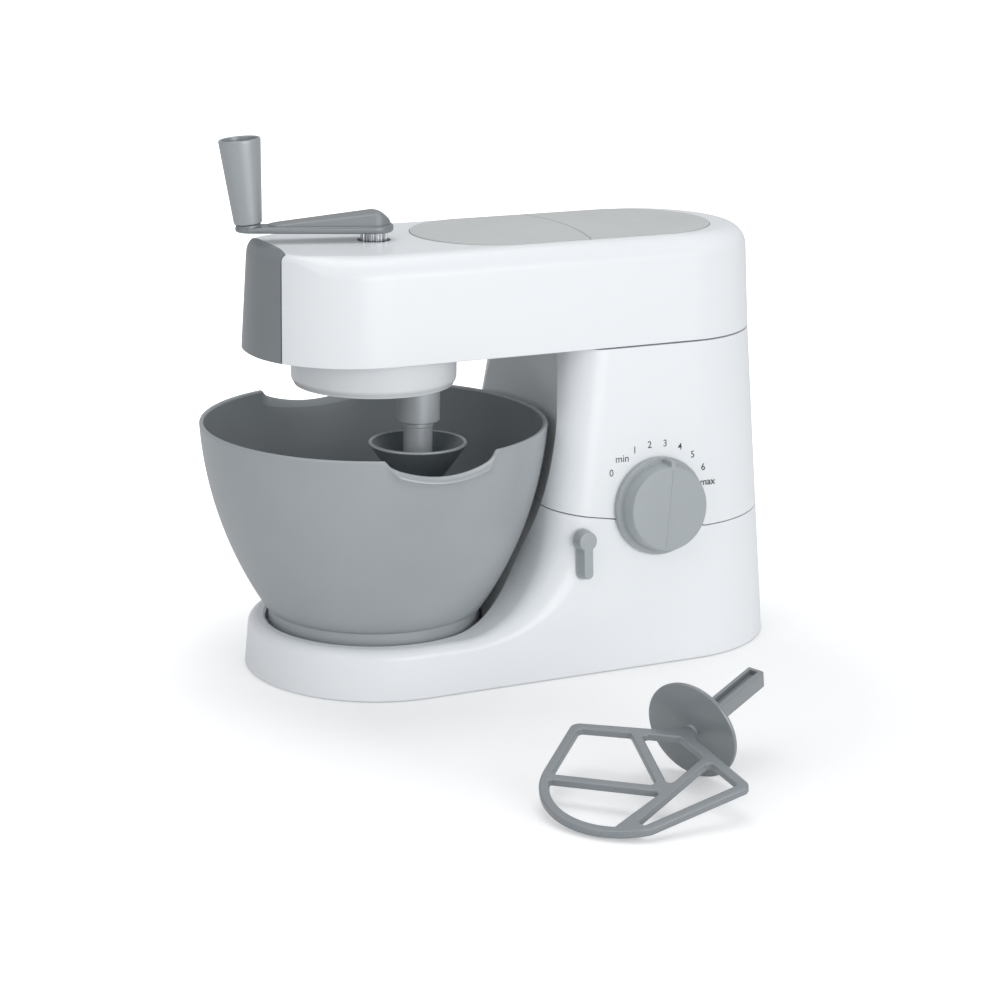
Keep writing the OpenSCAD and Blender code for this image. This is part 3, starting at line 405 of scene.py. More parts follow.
def bowl_room():
    outline = [(0, SEAT_Z), (SEAT_R, SEAT_Z), (SEAT_R, SEAT_TOP)]
    heights = [BASE_TOP + (BOWL_TOP - BASE_TOP) * i / 32 for i in range(33)]
    outline += [(bowl_arc(z, -ROOM), z) for z in heights]
    outline += [(BOWL_R + ROOM, ROOM_TOP), (0, ROOM_TOP)]
    bm = bmesh.new()
    lathe(bm, outline, steps=160)
    return bm


def prism(points, half):
    bm = bmesh.new()
    near = [bm.verts.new((x, -half, z)) for x, z in points]
    face = bm.faces.new(near)
    out = bmesh.ops.extrude_face_region(bm, geom=[face])
    bmesh.ops.translate(bm, verts=new_verts(out), vec=(0, 2 * half, 0))
    return bm


def split_at(x):
    (x0, z0), (x1, z1) = SPLIT_FRONT, SPLIT_REAR
    return z1 + (z0 - z1) * (x1 - x) / (x1 - x0)


def sharp_edges(bm, degrees):
    limit = math.radians(degrees)
    return [e for e in bm.edges if len(e.link_faces) == 2 and e.calc_face_angle(0) > limit]


LEFT, RIGHT, OVER, UNDER, CUT_HALF = -120.0, 260.0, 240.0, -40.0, 120
HEEL_BACK, HEEL_RUN, LID_Z = 1.0, 60, HEAD_Z - 0.6
line = [(LEFT, split_at(LEFT)), SPLIT_REAR, (RIGHT, SPLIT_REAR[1])]
heel = (HINGE[0] - HEEL_BACK, HINGE[1])
heel_line = line[:2] + [heel, (heel[0] + HEEL_RUN, heel[1] + HEEL_RUN)]
above = [(x, z - SPLIT_GAP) for x, z in line] + [(RIGHT, OVER), (LEFT, OVER)]
below = [(x, z + SPLIT_GAP) for x, z in heel_line] + [(RIGHT + 4.0, UNDER), (LEFT, UNDER)]
lid = [(LEFT, LID_Z), (RIGHT, LID_Z), (RIGHT, OVER), (LEFT, OVER)]

pedestal = cut_away(cut_away(swept_body(), bowl_room()), prism(above, CUT_HALF))
piece(pedestal, "pedestal_body", "pedestal", white, ["pedestal_shell"], angle=24)

column = cut_away(cut_away(swept_body(), bowl_room()), prism(below, CUT_HALF))
column = cut_away(column, prism(lid, CUT_HALF))
piece(column, "column_body", "head", white, ["column_shell", "column_front"], angle=24)

# %% [markdown]
# ## Head
# The head is a stack of long rounded rings: a small lower edge, a leaning side and a soft upper edge.
# Round the nose the upper edge is tighter, where the grey cover meets it.
# Its flat top has two openings, one for the crank and one for the panels.
# Its nose is sunk a little where the grey cover sits.

# %% Head
HEAD_DEGREES = 3.4
HEAD_DRAFT = math.radians(HEAD_DEGREES)
HEAD_EDGE, NOSE_EDGE, NOSE_FROM, NOSE_BLEND, HEAD_STEPS = 11.2, 3.6, 0.5, 0.36, 56
COVER_LOW, COVER_LEAN, COVER_BACK, COVER_GAP, COVER_SEAT = 25.4, 0.07, -54.5, 0.3, 2.0
CRANK_HOLE_R, CRANK_HOLE_DEEP = 8.2, 12
PANEL_R, PANEL_SEAT_R, PANEL_SEAT_DEEP, PANEL_SPAN = 39.1, 39.45, 1.2, (61.6, 141.6)


def cover_half(z):
    return COVER_LOW - COVER_LEAN * (z - HEAD_Z)


def head_line(grow=0.0, edge=HEAD_EDGE):
    """The head's outline from its lower edge to its flat top, as pairs of reach and height."""
    cz = HEAD_TOP - edge
    cx = COLUMN_R - (cz - HEAD_Z) * math.tan(HEAD_DRAFT) - edge / math.cos(HEAD_DRAFT)
    foot = COLUMN_R + grow / math.cos(HEAD_DRAFT)
    side = [(foot - 2.5, HEAD_Z), (foot - 0.6, HEAD_Z)]
    side += [(foot - 0.15, HEAD_Z + 0.2), (foot, HEAD_Z + 0.7)]
    return side + arc(cx, cz, edge + grow, HEAD_DEGREES, 90, 16)


def head_ring(soft, tight):
    """One ring of the head. Its upper edge is tighter round the nose than along the sides."""
    (r, z), (nose_r, nose_z) = soft, tight
    points = [(x, y, z) for x, y in arc(REAR_X, 0, r, -90, 90, HEAD_STEPS)]
    for i in range(HEAD_STEPS + 1):
        a = math.pi / 2 + math.pi * i / HEAD_STEPS
        w = smooth((-math.cos(a) - NOSE_FROM) / NOSE_BLEND)
        reach = r + (nose_r - r) * w
        points.append((-NOSE_X + reach * math.cos(a), reach * math.sin(a), z + (nose_z - z) * w))
    return points


def trim_to_cover(bm, gap, drop=False):
    """Cuts a skin along the two sides and the back of the nose cover, and can drop what lies beyond."""
    planes = [((0, s * (COVER_LOW + gap), HEAD_Z), (0, s, COVER_LEAN)) for s in (-1, 1)]
    planes.append(((COVER_BACK + gap, 0, 0), (1, 0, 0)))
    for co, no in planes:
        skin = bm.verts[:] + bm.edges[:] + bm.faces[:]
        bmesh.ops.bisect_plane(bm, geom=skin, plane_co=co, plane_no=no, clear_outer=drop)


bm = bmesh.new()
rings = [ring(bm, head_ring(*pair)) for pair in zip(head_line(), head_line(edge=NOSE_EDGE))]
loft(bm, rings)
hole = ring(bm, circle(CRANK_HOLE_R, HEAD_TOP, 48))
seat = ring(bm, track(PANEL_SEAT_R, HEAD_TOP, *PANEL_SPAN, HEAD_STEPS))
open_edges = [e for e in bm.edges if e.is_boundary]
rim_edges = [e for e in open_edges if all(abs(v.co.z - HEAD_TOP) < 0.01 for v in e.verts)]
rim_edges += hoop(bm, hole) + hoop(bm, seat)
bmesh.ops.triangle_fill(bm, edges=rim_edges, use_beauty=True)
crank_well = ring(bm, circle(CRANK_HOLE_R, HEAD_TOP - CRANK_HOLE_DEEP, 48))
loft(bm, [hole, crank_well])
seat_low = ring(bm, track(PANEL_SEAT_R, HEAD_TOP - PANEL_SEAT_DEEP, *PANEL_SPAN, HEAD_STEPS))
loft(bm, [seat, seat_low])
bm.faces.new(seat_low)
trim_to_cover(bm, COVER_GAP)
behind = []
for f in bm.faces:
    c = f.calc_center_median()
    in_front = c.x < COVER_BACK + COVER_GAP and c.z > HEAD_Z + 0.01
    if in_front and abs(c.y) < cover_half(c.z) + COVER_GAP:
        behind.append(f)
moved = bmesh.ops.extrude_face_region(bm, geom=behind)
bmesh.ops.delete(bm, geom=behind, context="FACES_ONLY")
centre = Vector((-NOSE_X, 0, HEAD_TOP - HEAD_EDGE - 14))
for v in new_verts(moved):
    v.co += (centre - v.co).normalized() * COVER_SEAT
piece(bm, "head_body", "head", white, ["head_shell"], angle=24)

# %% [markdown]
# The nose cover follows the head's side, grown by a hair, and stands a little proud at its top corner.
# We trim the rings to a strip and give it thickness.

# %% Nose cover
COVER_PROUD, COVER_WALL = 0.45, 3.2
bm = bmesh.new()
cover_line = [head_line(grow=COVER_PROUD)[3], (50.75, 206.5), (50.55, 208.6), (50.2, 210.3)]
cover_line += [(49.6, 211.7), (48.7, 213.0), (47.7, 213.9), (46.6, 214.5), (45.2, 214.85)]
cover_line += [(43.5, 215.0), (40.0, 215.1)]
loft(bm, [ring(bm, track(r, z, -NOSE_X, REAR_X, 120)) for r, z in cover_line])
trim_to_cover(bm, 0.0, drop=True)
bmesh.ops.recalc_face_normals(bm, faces=bm.faces)
bmesh.ops.solidify(bm, geom=bm.faces[:], thickness=COVER_WALL)
soften(bm, sharp_edges(bm, 60), 0.45, 3)
piece(bm, "nose_cover_skin", "head", cover_grey, ["nose_cover"], angle=40)

# %% [markdown]
# The two top panels are one low crown, parted by a bowed line.
# Each half runs from that line out to its own round end, so the two edges match.

# %% Top panels
BOW_R, BOW_X, PANEL_GAP = 200.0, 101.5, 0.25
PANEL_FOOT, PANEL_EDGE, CROWN_RISE = 211.9, 213.45, 1.35
PANEL_ROWS, PANEL_HALF = 40, 32


def crown_height(r):
    return PANEL_EDGE + CROWN_RISE * (1 - (r / PANEL_R) ** 2)


def bow_x(y, extra):
    return BOW_X - BOW_R + math.sqrt((BOW_R + extra) ** 2 - y * y)


PANELS = (("front_top_panel", "front_panel", False), ("rear_top_panel", "rear_panel", True))
first_x, last_x = PANEL_SPAN
for name, node, rear in PANELS:
    bm = bmesh.new()
    rows = []
    for i in range(PANEL_ROWS + 1):
        row = []
        t = i / PANEL_ROWS
        for j in range(2 * PANEL_HALF + 1):
            y = PANEL_R * math.sin(math.pi / 2 * (j - PANEL_HALF) / PANEL_HALF)
            reach = math.sqrt(max(0.0, PANEL_R**2 - y * y))
            end = last_x + reach if rear else first_x - reach
            x = bow_x(y, PANEL_GAP if rear else -PANEL_GAP) * (1 - t) + end * t
            far = max(0.0, x - last_x, first_x - x)
            row.append(bm.verts.new((x, y, crown_height(min(PANEL_R, math.hypot(far, y))))))
        rows.append(row)
    loft(bm, rows, close=False)
    bmesh.ops.remove_doubles(bm, verts=bm.verts, dist=0.01)
    bmesh.ops.recalc_face_normals(bm, faces=bm.faces)
    edge = [e for e in bm.edges if e.is_boundary]
    down = bmesh.ops.extrude_edge_only(bm, edges=edge)
    for v in new_verts(down):
        v.co.z = PANEL_FOOT
    soften(bm, edge, 0.5, 3)
    piece(bm, name, "head", panel_grey, [node], angle=40)

# %% [markdown]
# ## Underside and skirt
# The plate that closes the head from below carries the round skirt over the bowl.

# %% Underside
PLATE_Z, MOUTH_R = 161.55, 40.4
bm = bmesh.new()
skirt = [(38.1, 160.0), (38.1, 144.0), (38.5, 143.2), (39.0, 143.2)]
skirt += arc(36.7, 147.0, 3.8, -50, 0, 8)[1:] + [(40.5, 161.6), (40.5, 163.0)]
lathe(bm, skirt)
plate_line = ((49.9, 163.6), (49.9, 161.9), (49.5, PLATE_Z))
plate = [ring(bm, track(r, z, -NOSE_X, REAR_X)) for r, z in plate_line]
loft(bm, plate)
mouth = ring(bm, circle(MOUTH_R, PLATE_Z, 96))
edges = [e for e in bm.edges if e.is_boundary and all(v in plate[-1] for v in e.verts)]
bmesh.ops.triangle_fill(bm, edges=edges + hoop(bm, mouth), use_beauty=True)
piece(bm, "underside_skirt", "head", white, ["head_underside", "head_skirt"], angle=30)

# %% [markdown]
# ## Bowl
# The bowl is turned from one closed outline: foot ring, outside, rolled rim, inside.
# Two pouring lips follow: the rim dips in a bow, deepest in the middle, and the wall flares outwards.
# The outside and the rim are silver, and the inside below the rim is a darker grey.

# %% Bowl
FLOOR_Z, RIM_Z, BEAD_R, SKIN = 21.0, 123.4, 1.1, 1.6
NOTCH_FOOT, NOTCH_HALF, NOTCH_EASE = 106.0, 20.0, 5.0
LIP_STEP, LIP_SAG, LIP_ROLL = 1.2, 7.0, 3.0
LIP_FLARE, LIP_THIN = 3.6, 1.4
GREY_TO, GREY_TO_LIP = 122.2, 117.0


def from_lip(point):
    """How many degrees a point stands away from the middle of the nearer pouring lip."""
    return abs(abs(math.degrees(math.atan2(point.y, point.x))) - 90)


bm = bmesh.new()
outside = [(0, 18.0), (51.4, 18.0), (52.3, 18.4), (FOOT_R, 19.2), (FOOT_R, 29.7), (52.75, 30.3)]
outside += [(53.2, 30.6), (53.8, 30.75), (54.35, 31.3)] + [(bowl_arc(z), z) for z in (32.2, 34.0)]
outside += [(bowl_arc(z), z) for z in [36.0 + 75.0 * i / 24 for i in range(25)]]
rim_out = (112.5, 114.0, 115.5, 117.0, 118.2, 119.4, 120.4, 121.2, 122.0, 122.6, 123.2)
rim_in = (123.0, 121.0, 119.0, 117.4, 116.2, 115.0, 113.5)
rim = [(bowl_arc(z), z) for z in rim_out]
rim += arc(bowl_arc(RIM_Z) - BEAD_R, 123.3, BEAD_R, 10, 170, 6)
rim += [(bowl_arc(z, BOWL_WALL), z) for z in rim_in]
inside = [(bowl_arc(z, BOWL_WALL), z) for z in [112.0 - 84.0 * i / 24 for i in range(25)]]
inside += [(47.6, 25.6), (45.6, 23.2), (42.5, 21.6), (39.0, FLOOR_Z), (0, FLOOR_Z)]
lathe(bm, outside + rim + inside, steps=720)
for f in bm.faces:
    c = f.calc_center_median()
    grey_top = GREY_TO_LIP if from_lip(c) < NOTCH_HALF else GREY_TO
    within = FLOOR_Z <= c.z < grey_top and math.hypot(c.x, c.y) < bowl_arc(c.z) - SKIN
    f.material_index = 1 if within else 0
for v in bm.verts:
    away = from_lip(v.co)
    r, z = math.hypot(v.co.x, v.co.y), v.co.z
    if away < NOTCH_HALF and z > NOTCH_FOOT:
        sag = 1 - (away / NOTCH_HALF) ** 2
        ramp = smooth((NOTCH_HALF - away) / NOTCH_EASE)
        depth = min(1.0, max(0.0, (bowl_arc(min(z, RIM_Z)) - r) / BOWL_WALL))
        dip = LIP_STEP * min(1.0, ramp * 4)
        edge = BOWL_TOP - dip - LIP_SAG * sag - LIP_ROLL * ramp * (1 - depth)
        rise = (z - NOTCH_FOOT) / (BOWL_TOP - NOTCH_FOOT)
        v.co.z = NOTCH_FOOT + (edge - NOTCH_FOOT) * rise
        flare = (LIP_FLARE - LIP_THIN * depth) * ramp * rise**3
        grow = (bowl_arc(v.co.z, BOWL_WALL * depth) + flare) / r
        v.co.x *= grow
        v.co.y *= grow
piece(bm, "bowl_shell", "bowl", [bowl_silver, bowl_inner], ["mixing_bowl"], angle=38)

# %% [markdown]
# ## Crank
# The arm is a flat tapered tongue with a round edge, and on it a wedge rises to the post.
# We draw the plan once, and shrink it at the lower and the upper edge.


# %% Crank arm
ARM_T, ARM_THIN = 4.0, 0.25
HUMP_RISE, HUMP_R, HUMP_FALL, HUMP_LEN = 5.8, 8.1, 5.3, 51.5


def arm_plan(inset, n=24, length=CRANK_LEN, end=6.3, hub=9.5):
    lean = math.degrees(math.asin((hub - end) / length))
    hub_side = arc(0, 0, hub - inset, 90 - lean, 270 + lean, n)
    return hub_side + arc(length, 0, end - inset, lean - 90, 90 - lean, n)


def arm_level(inset, z):
    """One level of the arm, which is a quarter thinner below the grip."""
    points = []
    for x, y in arm_plan(inset):
        points.append((x, y, ARM_T - (ARM_T - z) * (1 - ARM_THIN * max(0.0, x) / CRANK_LEN)))
    return points


def hump_top(x):
    if x < 0:
        return ARM_T + HUMP_RISE * math.sqrt(max(0.0, 1 - (x / HUMP_R) ** 2))
    return ARM_T + HUMP_RISE - HUMP_FALL * x / HUMP_LEN


ARM = Matrix.Translation((0, 0, HEAD_TOP + 4)) @ Matrix.Rotation(CRANK_DIR, 4, "Z")
bm = bmesh.new()
levels = [(1.3, 0.0), (0.6, 0.25), (0.15, 0.8), (0.0, 1.7)]
levels += [(0.0, 2.6), (0.15, 3.3), (0.6, 3.8), (1.4, ARM_T)]
rings = [ring(bm, arm_level(inset, z)) for inset, z in levels]
loft(bm, rings)
bm.faces.new(list(reversed(rings[0])))
bm.faces.new(rings[-1])
hump = arm_plan(1.4, length=46.0, end=6.9)
low = ring(bm, [(x, y, 3.4) for x, y in hump])
mid = ring(bm, [(x, y, max(3.6, hump_top(x) - 0.7)) for x, y in hump])
top = ring(bm, [(x * 0.985 + 0.3, y * 0.9, hump_top(x)) for x, y in hump])
loft(bm, [low, mid, top])
bm.faces.new(top)
bmesh.ops.triangulate(bm, faces=[f for f in bm.faces if len(f.verts) > 12])
PIVOT = Matrix.Translation((CRANK_LEN, 0, ARM_T)) @ Matrix.Rotation(GRIP_LEAN, 4, "Y")
PAD = PIVOT @ Matrix.Translation((0, 0, -0.3))
bmesh.ops.create_cone(bm, cap_ends=True, segments=48, radius1=6.1, radius2=6.0, depth=2.4, matrix=PAD)
piece(bm, "crank_arm_body", "crank", arm_grey, ["crank_arm"], angle=30, place=ARM)

# %% [markdown]
# The grip is a hollow tapered cup that leans outwards, and the post below the arm is splined.

# %% Grip and post
bm = bmesh.new()
cup = [(2.56, 0.0), (6.1, 0.0), (6.6, 0.15), (6.8, 0.7)]
cup += [(6.8 + 3.25 * i / 8, 0.7 + 38.6 * i / 8) for i in range(1, 9)]
cup += arc(9.35, 39.8, 0.75, 20, 160, 6)
cup += [(8.5, 38.5), (6.7, 20.0), (5.2, 7.0), (4.6, 5.4), (2.56, 5.0)]
lathe(bm, cup, steps=96, close=True)
GRIP = ARM @ PIVOT @ Matrix.Translation((0, 0, 1.3))
piece(bm, "crank_grip_cup", "grip", grip_grey, ["crank_grip"], angle=40, place=GRIP)

TEETH, TOOTH, POST_SPAN = 16, (5.6, 5.7, 6.5, 6.6, 6.5, 5.7), (206.1, 217.2)
bm = bmesh.new()
star = []
for i, r in enumerate(TOOTH * TEETH):
    a = math.tau * i / (TEETH * len(TOOTH))
    star.append((r * math.cos(a), r * math.sin(a)))
rings = [ring(bm, [(x, y, z) for x, y in star]) for z in POST_SPAN]
loft(bm, rings)
for end in rings:
    bm.faces.new(end)
piece(bm, "crank_post_spline", "crank", zinc, ["crank_post"], angle=30)

# %% [markdown]
# ## Tool
# A plain tube hangs from the planet gear. The hook's shank sits in it.
# A cone cup on the shank keeps splashes down.
# Below the cup a round rod bends into a C. We sweep a circle along its path.

# %% Socket and hook
bm = bmesh.new()
tube = [(7.3, 145.5), (7.3, 125.6), (7.7, 125.2), (10.2, 125.2), (10.7, 125.7), (10.7, 145.7)]
lathe(bm, tube + [(7.3, 145.7)], steps=96)
TOOL_PLACE = Matrix.Translation((*TOOL, 0))
piece(
    bm, "tool_socket_tube", "tool", socket_grey_and_rim_highlight, ["tool_socket"], angle=40, place=TOOL_PLACE
)

bm = bmesh.new()
outline = [(0, 142.0), (7.1, 142.0), (7.15, 125.0), (7.6, 124.7), (7.7, 124.2), (7.7, 122.9)]
outline += [(7.15, 122.4), (7.1, 103.5), (8.2, 101.6), (11.0, 101.3), (12.4, 102.2), (22.0, 113.6)]
outline += arc(23.3, 113.9, 0.9, 160, -20, 5)
outline += [(13.6, 98.4), (12.4, 97.5), (5.5, 97.3), (4.6, 96.4), (4.5, 92.0)]
lathe(bm, outline, steps=96)
ROD_R, BEND_R, BEND_X, BEND_Z = 4.5, 20, -5.0, 70.0
BEND_FROM, BEND_BY, BEND_STEPS = 75.5, 221.0, 48
path = [(0.0, 0.0, 93.0), (0.0, 0.0, 90.6)]
for i in range(1, BEND_STEPS + 1):
    a = math.radians(BEND_FROM - BEND_BY * i / BEND_STEPS)
    path.append((BEND_X + BEND_R * math.cos(a), 0.0, BEND_Z + BEND_R * math.sin(a)))
rod = arc(0, 0, ROD_R, 0, 360, 24)[:-1]
rings = []
for i, p in enumerate(path):
    ahead = Vector(path[min(i + 1, len(path) - 1)]) - Vector(path[max(i - 1, 0)])
    side = ahead.normalized().cross(Vector((0, 1, 0)))
    rings.append(ring(bm, [Vector(p) + side * x + Vector((0, y, 0)) for x, y in rod]))
loft(bm, rings)
tip = bm.faces.new(rings[-1])
soften(bm, list(tip.edges), 3.2, 5)
for f in bm.faces:
    c = f.calc_center_median()
    r = math.hypot(c.x, c.y)
    in_shank = c.z > 103.0 and r < 7.9
    # The cup's rim is given the lighter socket grey: a painted highlight along its edge.
    rim_highlight = c.z > 113.7 and r > 22.3
    f.material_index = 1 if in_shank or rim_highlight else 0
HOOK = TOOL_PLACE @ Matrix.Rotation(math.radians(-26), 4, "Z")
# The shank is the socket's own grey, and on the cup's rim that grey is a painted highlight.
looks = [tool_dark, socket_grey_and_rim_highlight]  # the rod and cup, then the shank and the cup's rim
piece(bm, "dough_hook_body", "tool", looks, ["dough_hook"], angle=40, place=HOOK)

# %% [markdown]
# ## Dial, scale and lever
# Both controls are drawn flat, then set on the leaning wall by one matrix.

# %% Dial
POINTER, POINTER_FOOT = math.radians(83), 3.2
bm = bmesh.new()
outline = [(0, 0.6), (24.0, 0.6), (24.5, 1.0), (24.5, 2.9)] + arc(23.8, 2.9, 0.7, 10, 90, 4)
outline += [(22.3, 3.6), (22.0, 3.9), (21.7, 6.0), (21.0, 11.2)]
outline += arc(19.9, 11.4, 1.2, 5, 90, 6) + [(14.0, 12.7), (0, 12.75)]
lathe(bm, outline, steps=160)
ridge = [(19.0, -1.5, 12.9), (23.6, -1.2, 11.6), (23.6, 1.2, 11.6), (19.0, 1.5, 12.9)]
c, s = math.cos(POINTER), math.sin(POINTER)
foot = ring(bm, [(x * c - y * s, x * s + y * c, POINTER_FOOT) for x, y, _ in ridge])
crest = ring(bm, [(x * c - y * s, x * s + y * c, z) for x, y, z in ridge])
loft(bm, [foot, crest])
cap = bm.faces.new(crest)
soften(bm, list(cap.edges), 0.5, 3)
CREASE = Matrix.Translation((0, 0, 12.6)) @ Matrix.Diagonal((37, 0.8, 0.5, 1))
bmesh.ops.create_cube(bm, size=1.0, matrix=Matrix.Rotation(POINTER, 4, "Z") @ CREASE)
piece(bm, "dial_knob", "dial", dial_grey, ["speed_dial"], angle=30, place=wall_frame(*DIAL))

# %% [markdown]
# The scale is generic: nought, min, one to six and max, set round the dial in thin dark figures.

# %% Scale
FIGURE_SIZE, WORD_SIZE, STROKE, INK_LIFT = 4.9, 5.2, 0.015, 0.05
SCALE = (("0", 144.3, 31.7), ("min", 128.0, 31.9), ("1", 113.6, 31.4))
SCALE += (("2", 97.8, 30.9), ("3", 81.5, 30.9), ("4", 65.2, 30.9))
SCALE += (("5", 49.3, 30.9), ("6", 32.2, 30.9), ("max", 17.2, 30.0))
for text, degrees, reach in SCALE:
    curve = bpy.data.curves.new("scale_" + text, "FONT")
    curve.body = text
    curve.size = FIGURE_SIZE if len(text) == 1 else WORD_SIZE
    curve.offset = STROKE
    curve.align_x, curve.align_y = "CENTER", "CENTER"
    bm = from_curve(curve)
    a = math.radians(degrees)
    flat = Matrix.Translation((reach * math.cos(a), reach * math.sin(a), INK_LIFT))
    piece(bm, "scale_" + text, "head", ink, place=wall_frame(*DIAL) @ flat)

# %% [markdown]
# The lever is keyhole-shaped: a round end over its pivot and a narrower tail, both tapering outwards.


# %% Lever
def keyhole(r, w, tail):
    start = math.degrees(math.asin(w / r))
    return arc(0, 0, r, -90 + start, 270 - start, 28) + arc(0, -tail + w, w, 180, 360, 12)


bm = bmesh.new()
levels = [(5.4, 3.6, 19.9, 0.5), (5.5, 3.7, 20.0, 0.8), (4.85, 2.6, 18.9, 6.2)]
levels += [(4.6, 2.35, 18.6, 6.8), (4.2, 2.0, 18.2, 7.0)]
rings = [ring(bm, [(x, y, z) for x, y in keyhole(r, w, tail)]) for r, w, tail, z in levels]
loft(bm, rings)
caps = [bm.faces.new(list(reversed(rings[0]))), bm.faces.new(rings[-1])]
bmesh.ops.triangulate(bm, faces=caps)
piece(
    bm, "lift_lever_body", "lever", dial_grey, ["lift_lever"], angle=35, place=wall_frame(*LEVER)
)

# %% [markdown]
# ## Hinge
# Three short knuckles turn on the steel pin at the rear of the split line.

# %% Hinge knuckles
KNUCKLE_R = 5
KNUCKLES = (
    ("hinge_knuckles_low", "pedestal", ((-17, -7.8), (7.8, 17))),
    ("hinge_knuckle_high", "head", ((-7.4, 7.4),)),
)
CROSSWAYS = Matrix.Rotation(math.pi / 2, 4, "X")
size = {"radius1": KNUCKLE_R, "radius2": KNUCKLE_R, "segments": 40}
for name, body, spans in KNUCKLES:
    bm = bmesh.new()
    for y0, y1 in spans:
        place = Matrix.Translation((HINGE[0], (y0 + y1) / 2, HINGE[1])) @ CROSSWAYS
        bmesh.ops.create_cone(bm, cap_ends=True, depth=y1 - y0, matrix=place, **size)
    soften(bm, sharp_edges(bm, 60), 0.4, 2)
    piece(bm, name, body, white, angle=35)

# %% [markdown]
# ## K-beater
# The beater's frame is a flat plan with four windows. A curve with depth and a bevel gives it round edges.
# A disc and a square shank with a channel along it complete it, and one matrix lays it on the table.


# %% K-beater
def window(lines, radius=2.0):
    """The corners where neighbouring lines cross, rounded. A line is a point and a direction."""
    corners = []
    for (p, u), (q, v) in zip(lines, lines[1:] + lines[:1]):
        p, u, q, v = Vector(p), Vector(u), Vector(q), Vector(v)
        t = ((q.x - p.x) * v.y - (q.y - p.y) * v.x) / (u.x * v.y - u.y * v.x)
        corners.append(tuple(p + u * t))
    return rounded(corners, radius)


BAR, SHOULDER_Y = 2.25, -25.9
hub, tip_c, tip_r = (0.0, -7.5), (0.0, 38.0 - 87.4), 35.8
shoulder = 47.3 - BAR


def beside(p, q, away):
    """The line through p and q, moved sideways to its left."""
    d = (Vector(q) - Vector(p)).normalized()
    side = Vector((-d.y, d.x)) * away
    return tuple(Vector(p) + side), tuple(d)


def tangent(corner, radius):
    """The angle on the tip circle where a straight line from the corner runs into it smoothly."""
    x, y = corner[0] - tip_c[0], corner[1] - tip_c[1]
    return math.atan2(y, x) - math.acos(radius / math.hypot(x, y))


# The far side runs smoothly into the tip. The near side meets it at a fixed angle.
half = {-1: tangent((shoulder, SHOULDER_Y), tip_r), 1: math.radians(-38)}
ends = {s: (s * tip_r * math.cos(half[s]), tip_c[1] + tip_r * math.sin(half[s])) for s in (-1, 1)}
corners = {s: (s * shoulder, SHOULDER_Y) for s in (-1, 1)}
spine, joint = 19.8, (19.8 - BAR, -46.0)
foot_y = tip_c[1] - math.sqrt(tip_r**2 - spine**2)
arm_end, leg_end = (-20.0, -16.0), (-30.5, -64.0)

point = (shoulder + BAR, -26.6)
start = math.degrees(tangent(point, tip_r + BAR))
tip_arc = arc(*tip_c, tip_r + BAR, math.degrees(half[1]), -180 - start, 56)
near_half = [(2.4, -1.0), (7.0, -7.2), (shoulder + 0.6, SHOULDER_Y + BAR), point]
outer = near_half + tip_arc + [(-x, y) for x, y in reversed(near_half)]
near_edge, far_edge = beside(hub, corners[1], -BAR), beside(hub, corners[-1], BAR)
near_side = [near_edge, beside(corners[1], ends[1], -BAR), ((spine + BAR, 0), (0, 1))]
far_top = [far_edge, beside(joint, arm_end, -BAR), ((spine - BAR, 0), (0, 1)), near_edge]
far_mid = [far_edge, beside(corners[-1], ends[-1], BAR)]
far_mid += [beside(joint, leg_end, -BAR), beside(joint, arm_end, BAR)]
tip_top, slope = [Vector(v) for v in beside(joint, leg_end, BAR)]
meet_x = spine - BAR
meet = tip_top + slope * ((meet_x - tip_top.x) / slope.x)
# We walk along the leg until it meets the inside of the tip.
for k in range(400):
    left = tip_top + slope * (k * 0.2)
    past = math.hypot(left.x - tip_c[0], left.y - tip_c[1]) > tip_r - BAR
    if past and left.x < 0 and left.y < tip_c[1]:
        break
stop = math.degrees(math.atan2(left.y - tip_c[1], left.x))
begin = math.degrees(math.atan2(foot_y - tip_c[1], meet_x))
lower = arc(*tip_c, tip_r - BAR, begin, stop, 28)[1:-1]
low_radii = [2.0] + [0.3] * len(lower) + [1.2]
low_window = rounded([tuple(meet)] + lower + [tuple(left)], low_radii, 3)
windows = [window(near_side), window(far_top), window(far_mid), low_window]
shape = bpy.data.curves.new("beater_plan", "CURVE")
shape.dimensions, shape.fill_mode = "2D", "BOTH"
shape.extrude, shape.bevel_depth, shape.bevel_resolution = 1.0, 0.8, 3
shape.offset = -0.8
half_radii = [2.0, 3.0, 4.0, 4.0]
outer_radii = half_radii + [0.4] * len(tip_arc) + half_radii[::-1]
for loop in [rounded(outer, outer_radii, 4)] + windows:
    spline = shape.splines.new("POLY")
    spline.points.add(len(loop) - 1)
    for knot, (x, y) in zip(spline.points, loop):
        knot.co = (x, y, 0, 1)
    spline.use_cyclic_u = True
bm = from_curve(shape)
UPRIGHT = Matrix.Rotation(math.pi / 2, 3, "X")
bmesh.ops.rotate(bm, cent=(0, 0, 0), matrix=UPRIGHT, verts=bm.verts)
disc = [(0, 1.0), (22.6, 1.0), (23.2, 0.7), (23.4, 0.2), (23.4, -0.4), (23.0, -0.9), (22.4, -1.0)]
lathe(bm, disc + [(3.4, -1.1), (2.6, -1.9), (0, -2.0)], steps=120)
HEADING, TILT, SPIN = math.radians(-155.2), math.radians(13.3 - 90), math.radians(93.6)
LAID = Matrix.Translation((63.4, -208.7, 23.1)) @ Matrix.Rotation(HEADING, 4, "Z")
LAID = LAID @ Matrix.Rotation(TILT, 4, "Y") @ Matrix.Rotation(SPIN, 4, "Z")
SHANK_W, SHANK_LEN, CHANNEL_INSET, CHANNEL_DEEP = 8.4, 51.0, 3.0, 2.2
SHANK = Matrix.Translation((0, 0, 26.0)) @ Matrix.Diagonal((SHANK_W, SHANK_W, SHANK_LEN, 1))
shank = bmesh.ops.create_cube(bm, size=1.0, matrix=SHANK)
sides = dict.fromkeys(f for v in shank["verts"] for f in v.link_faces)
bm.normal_update()
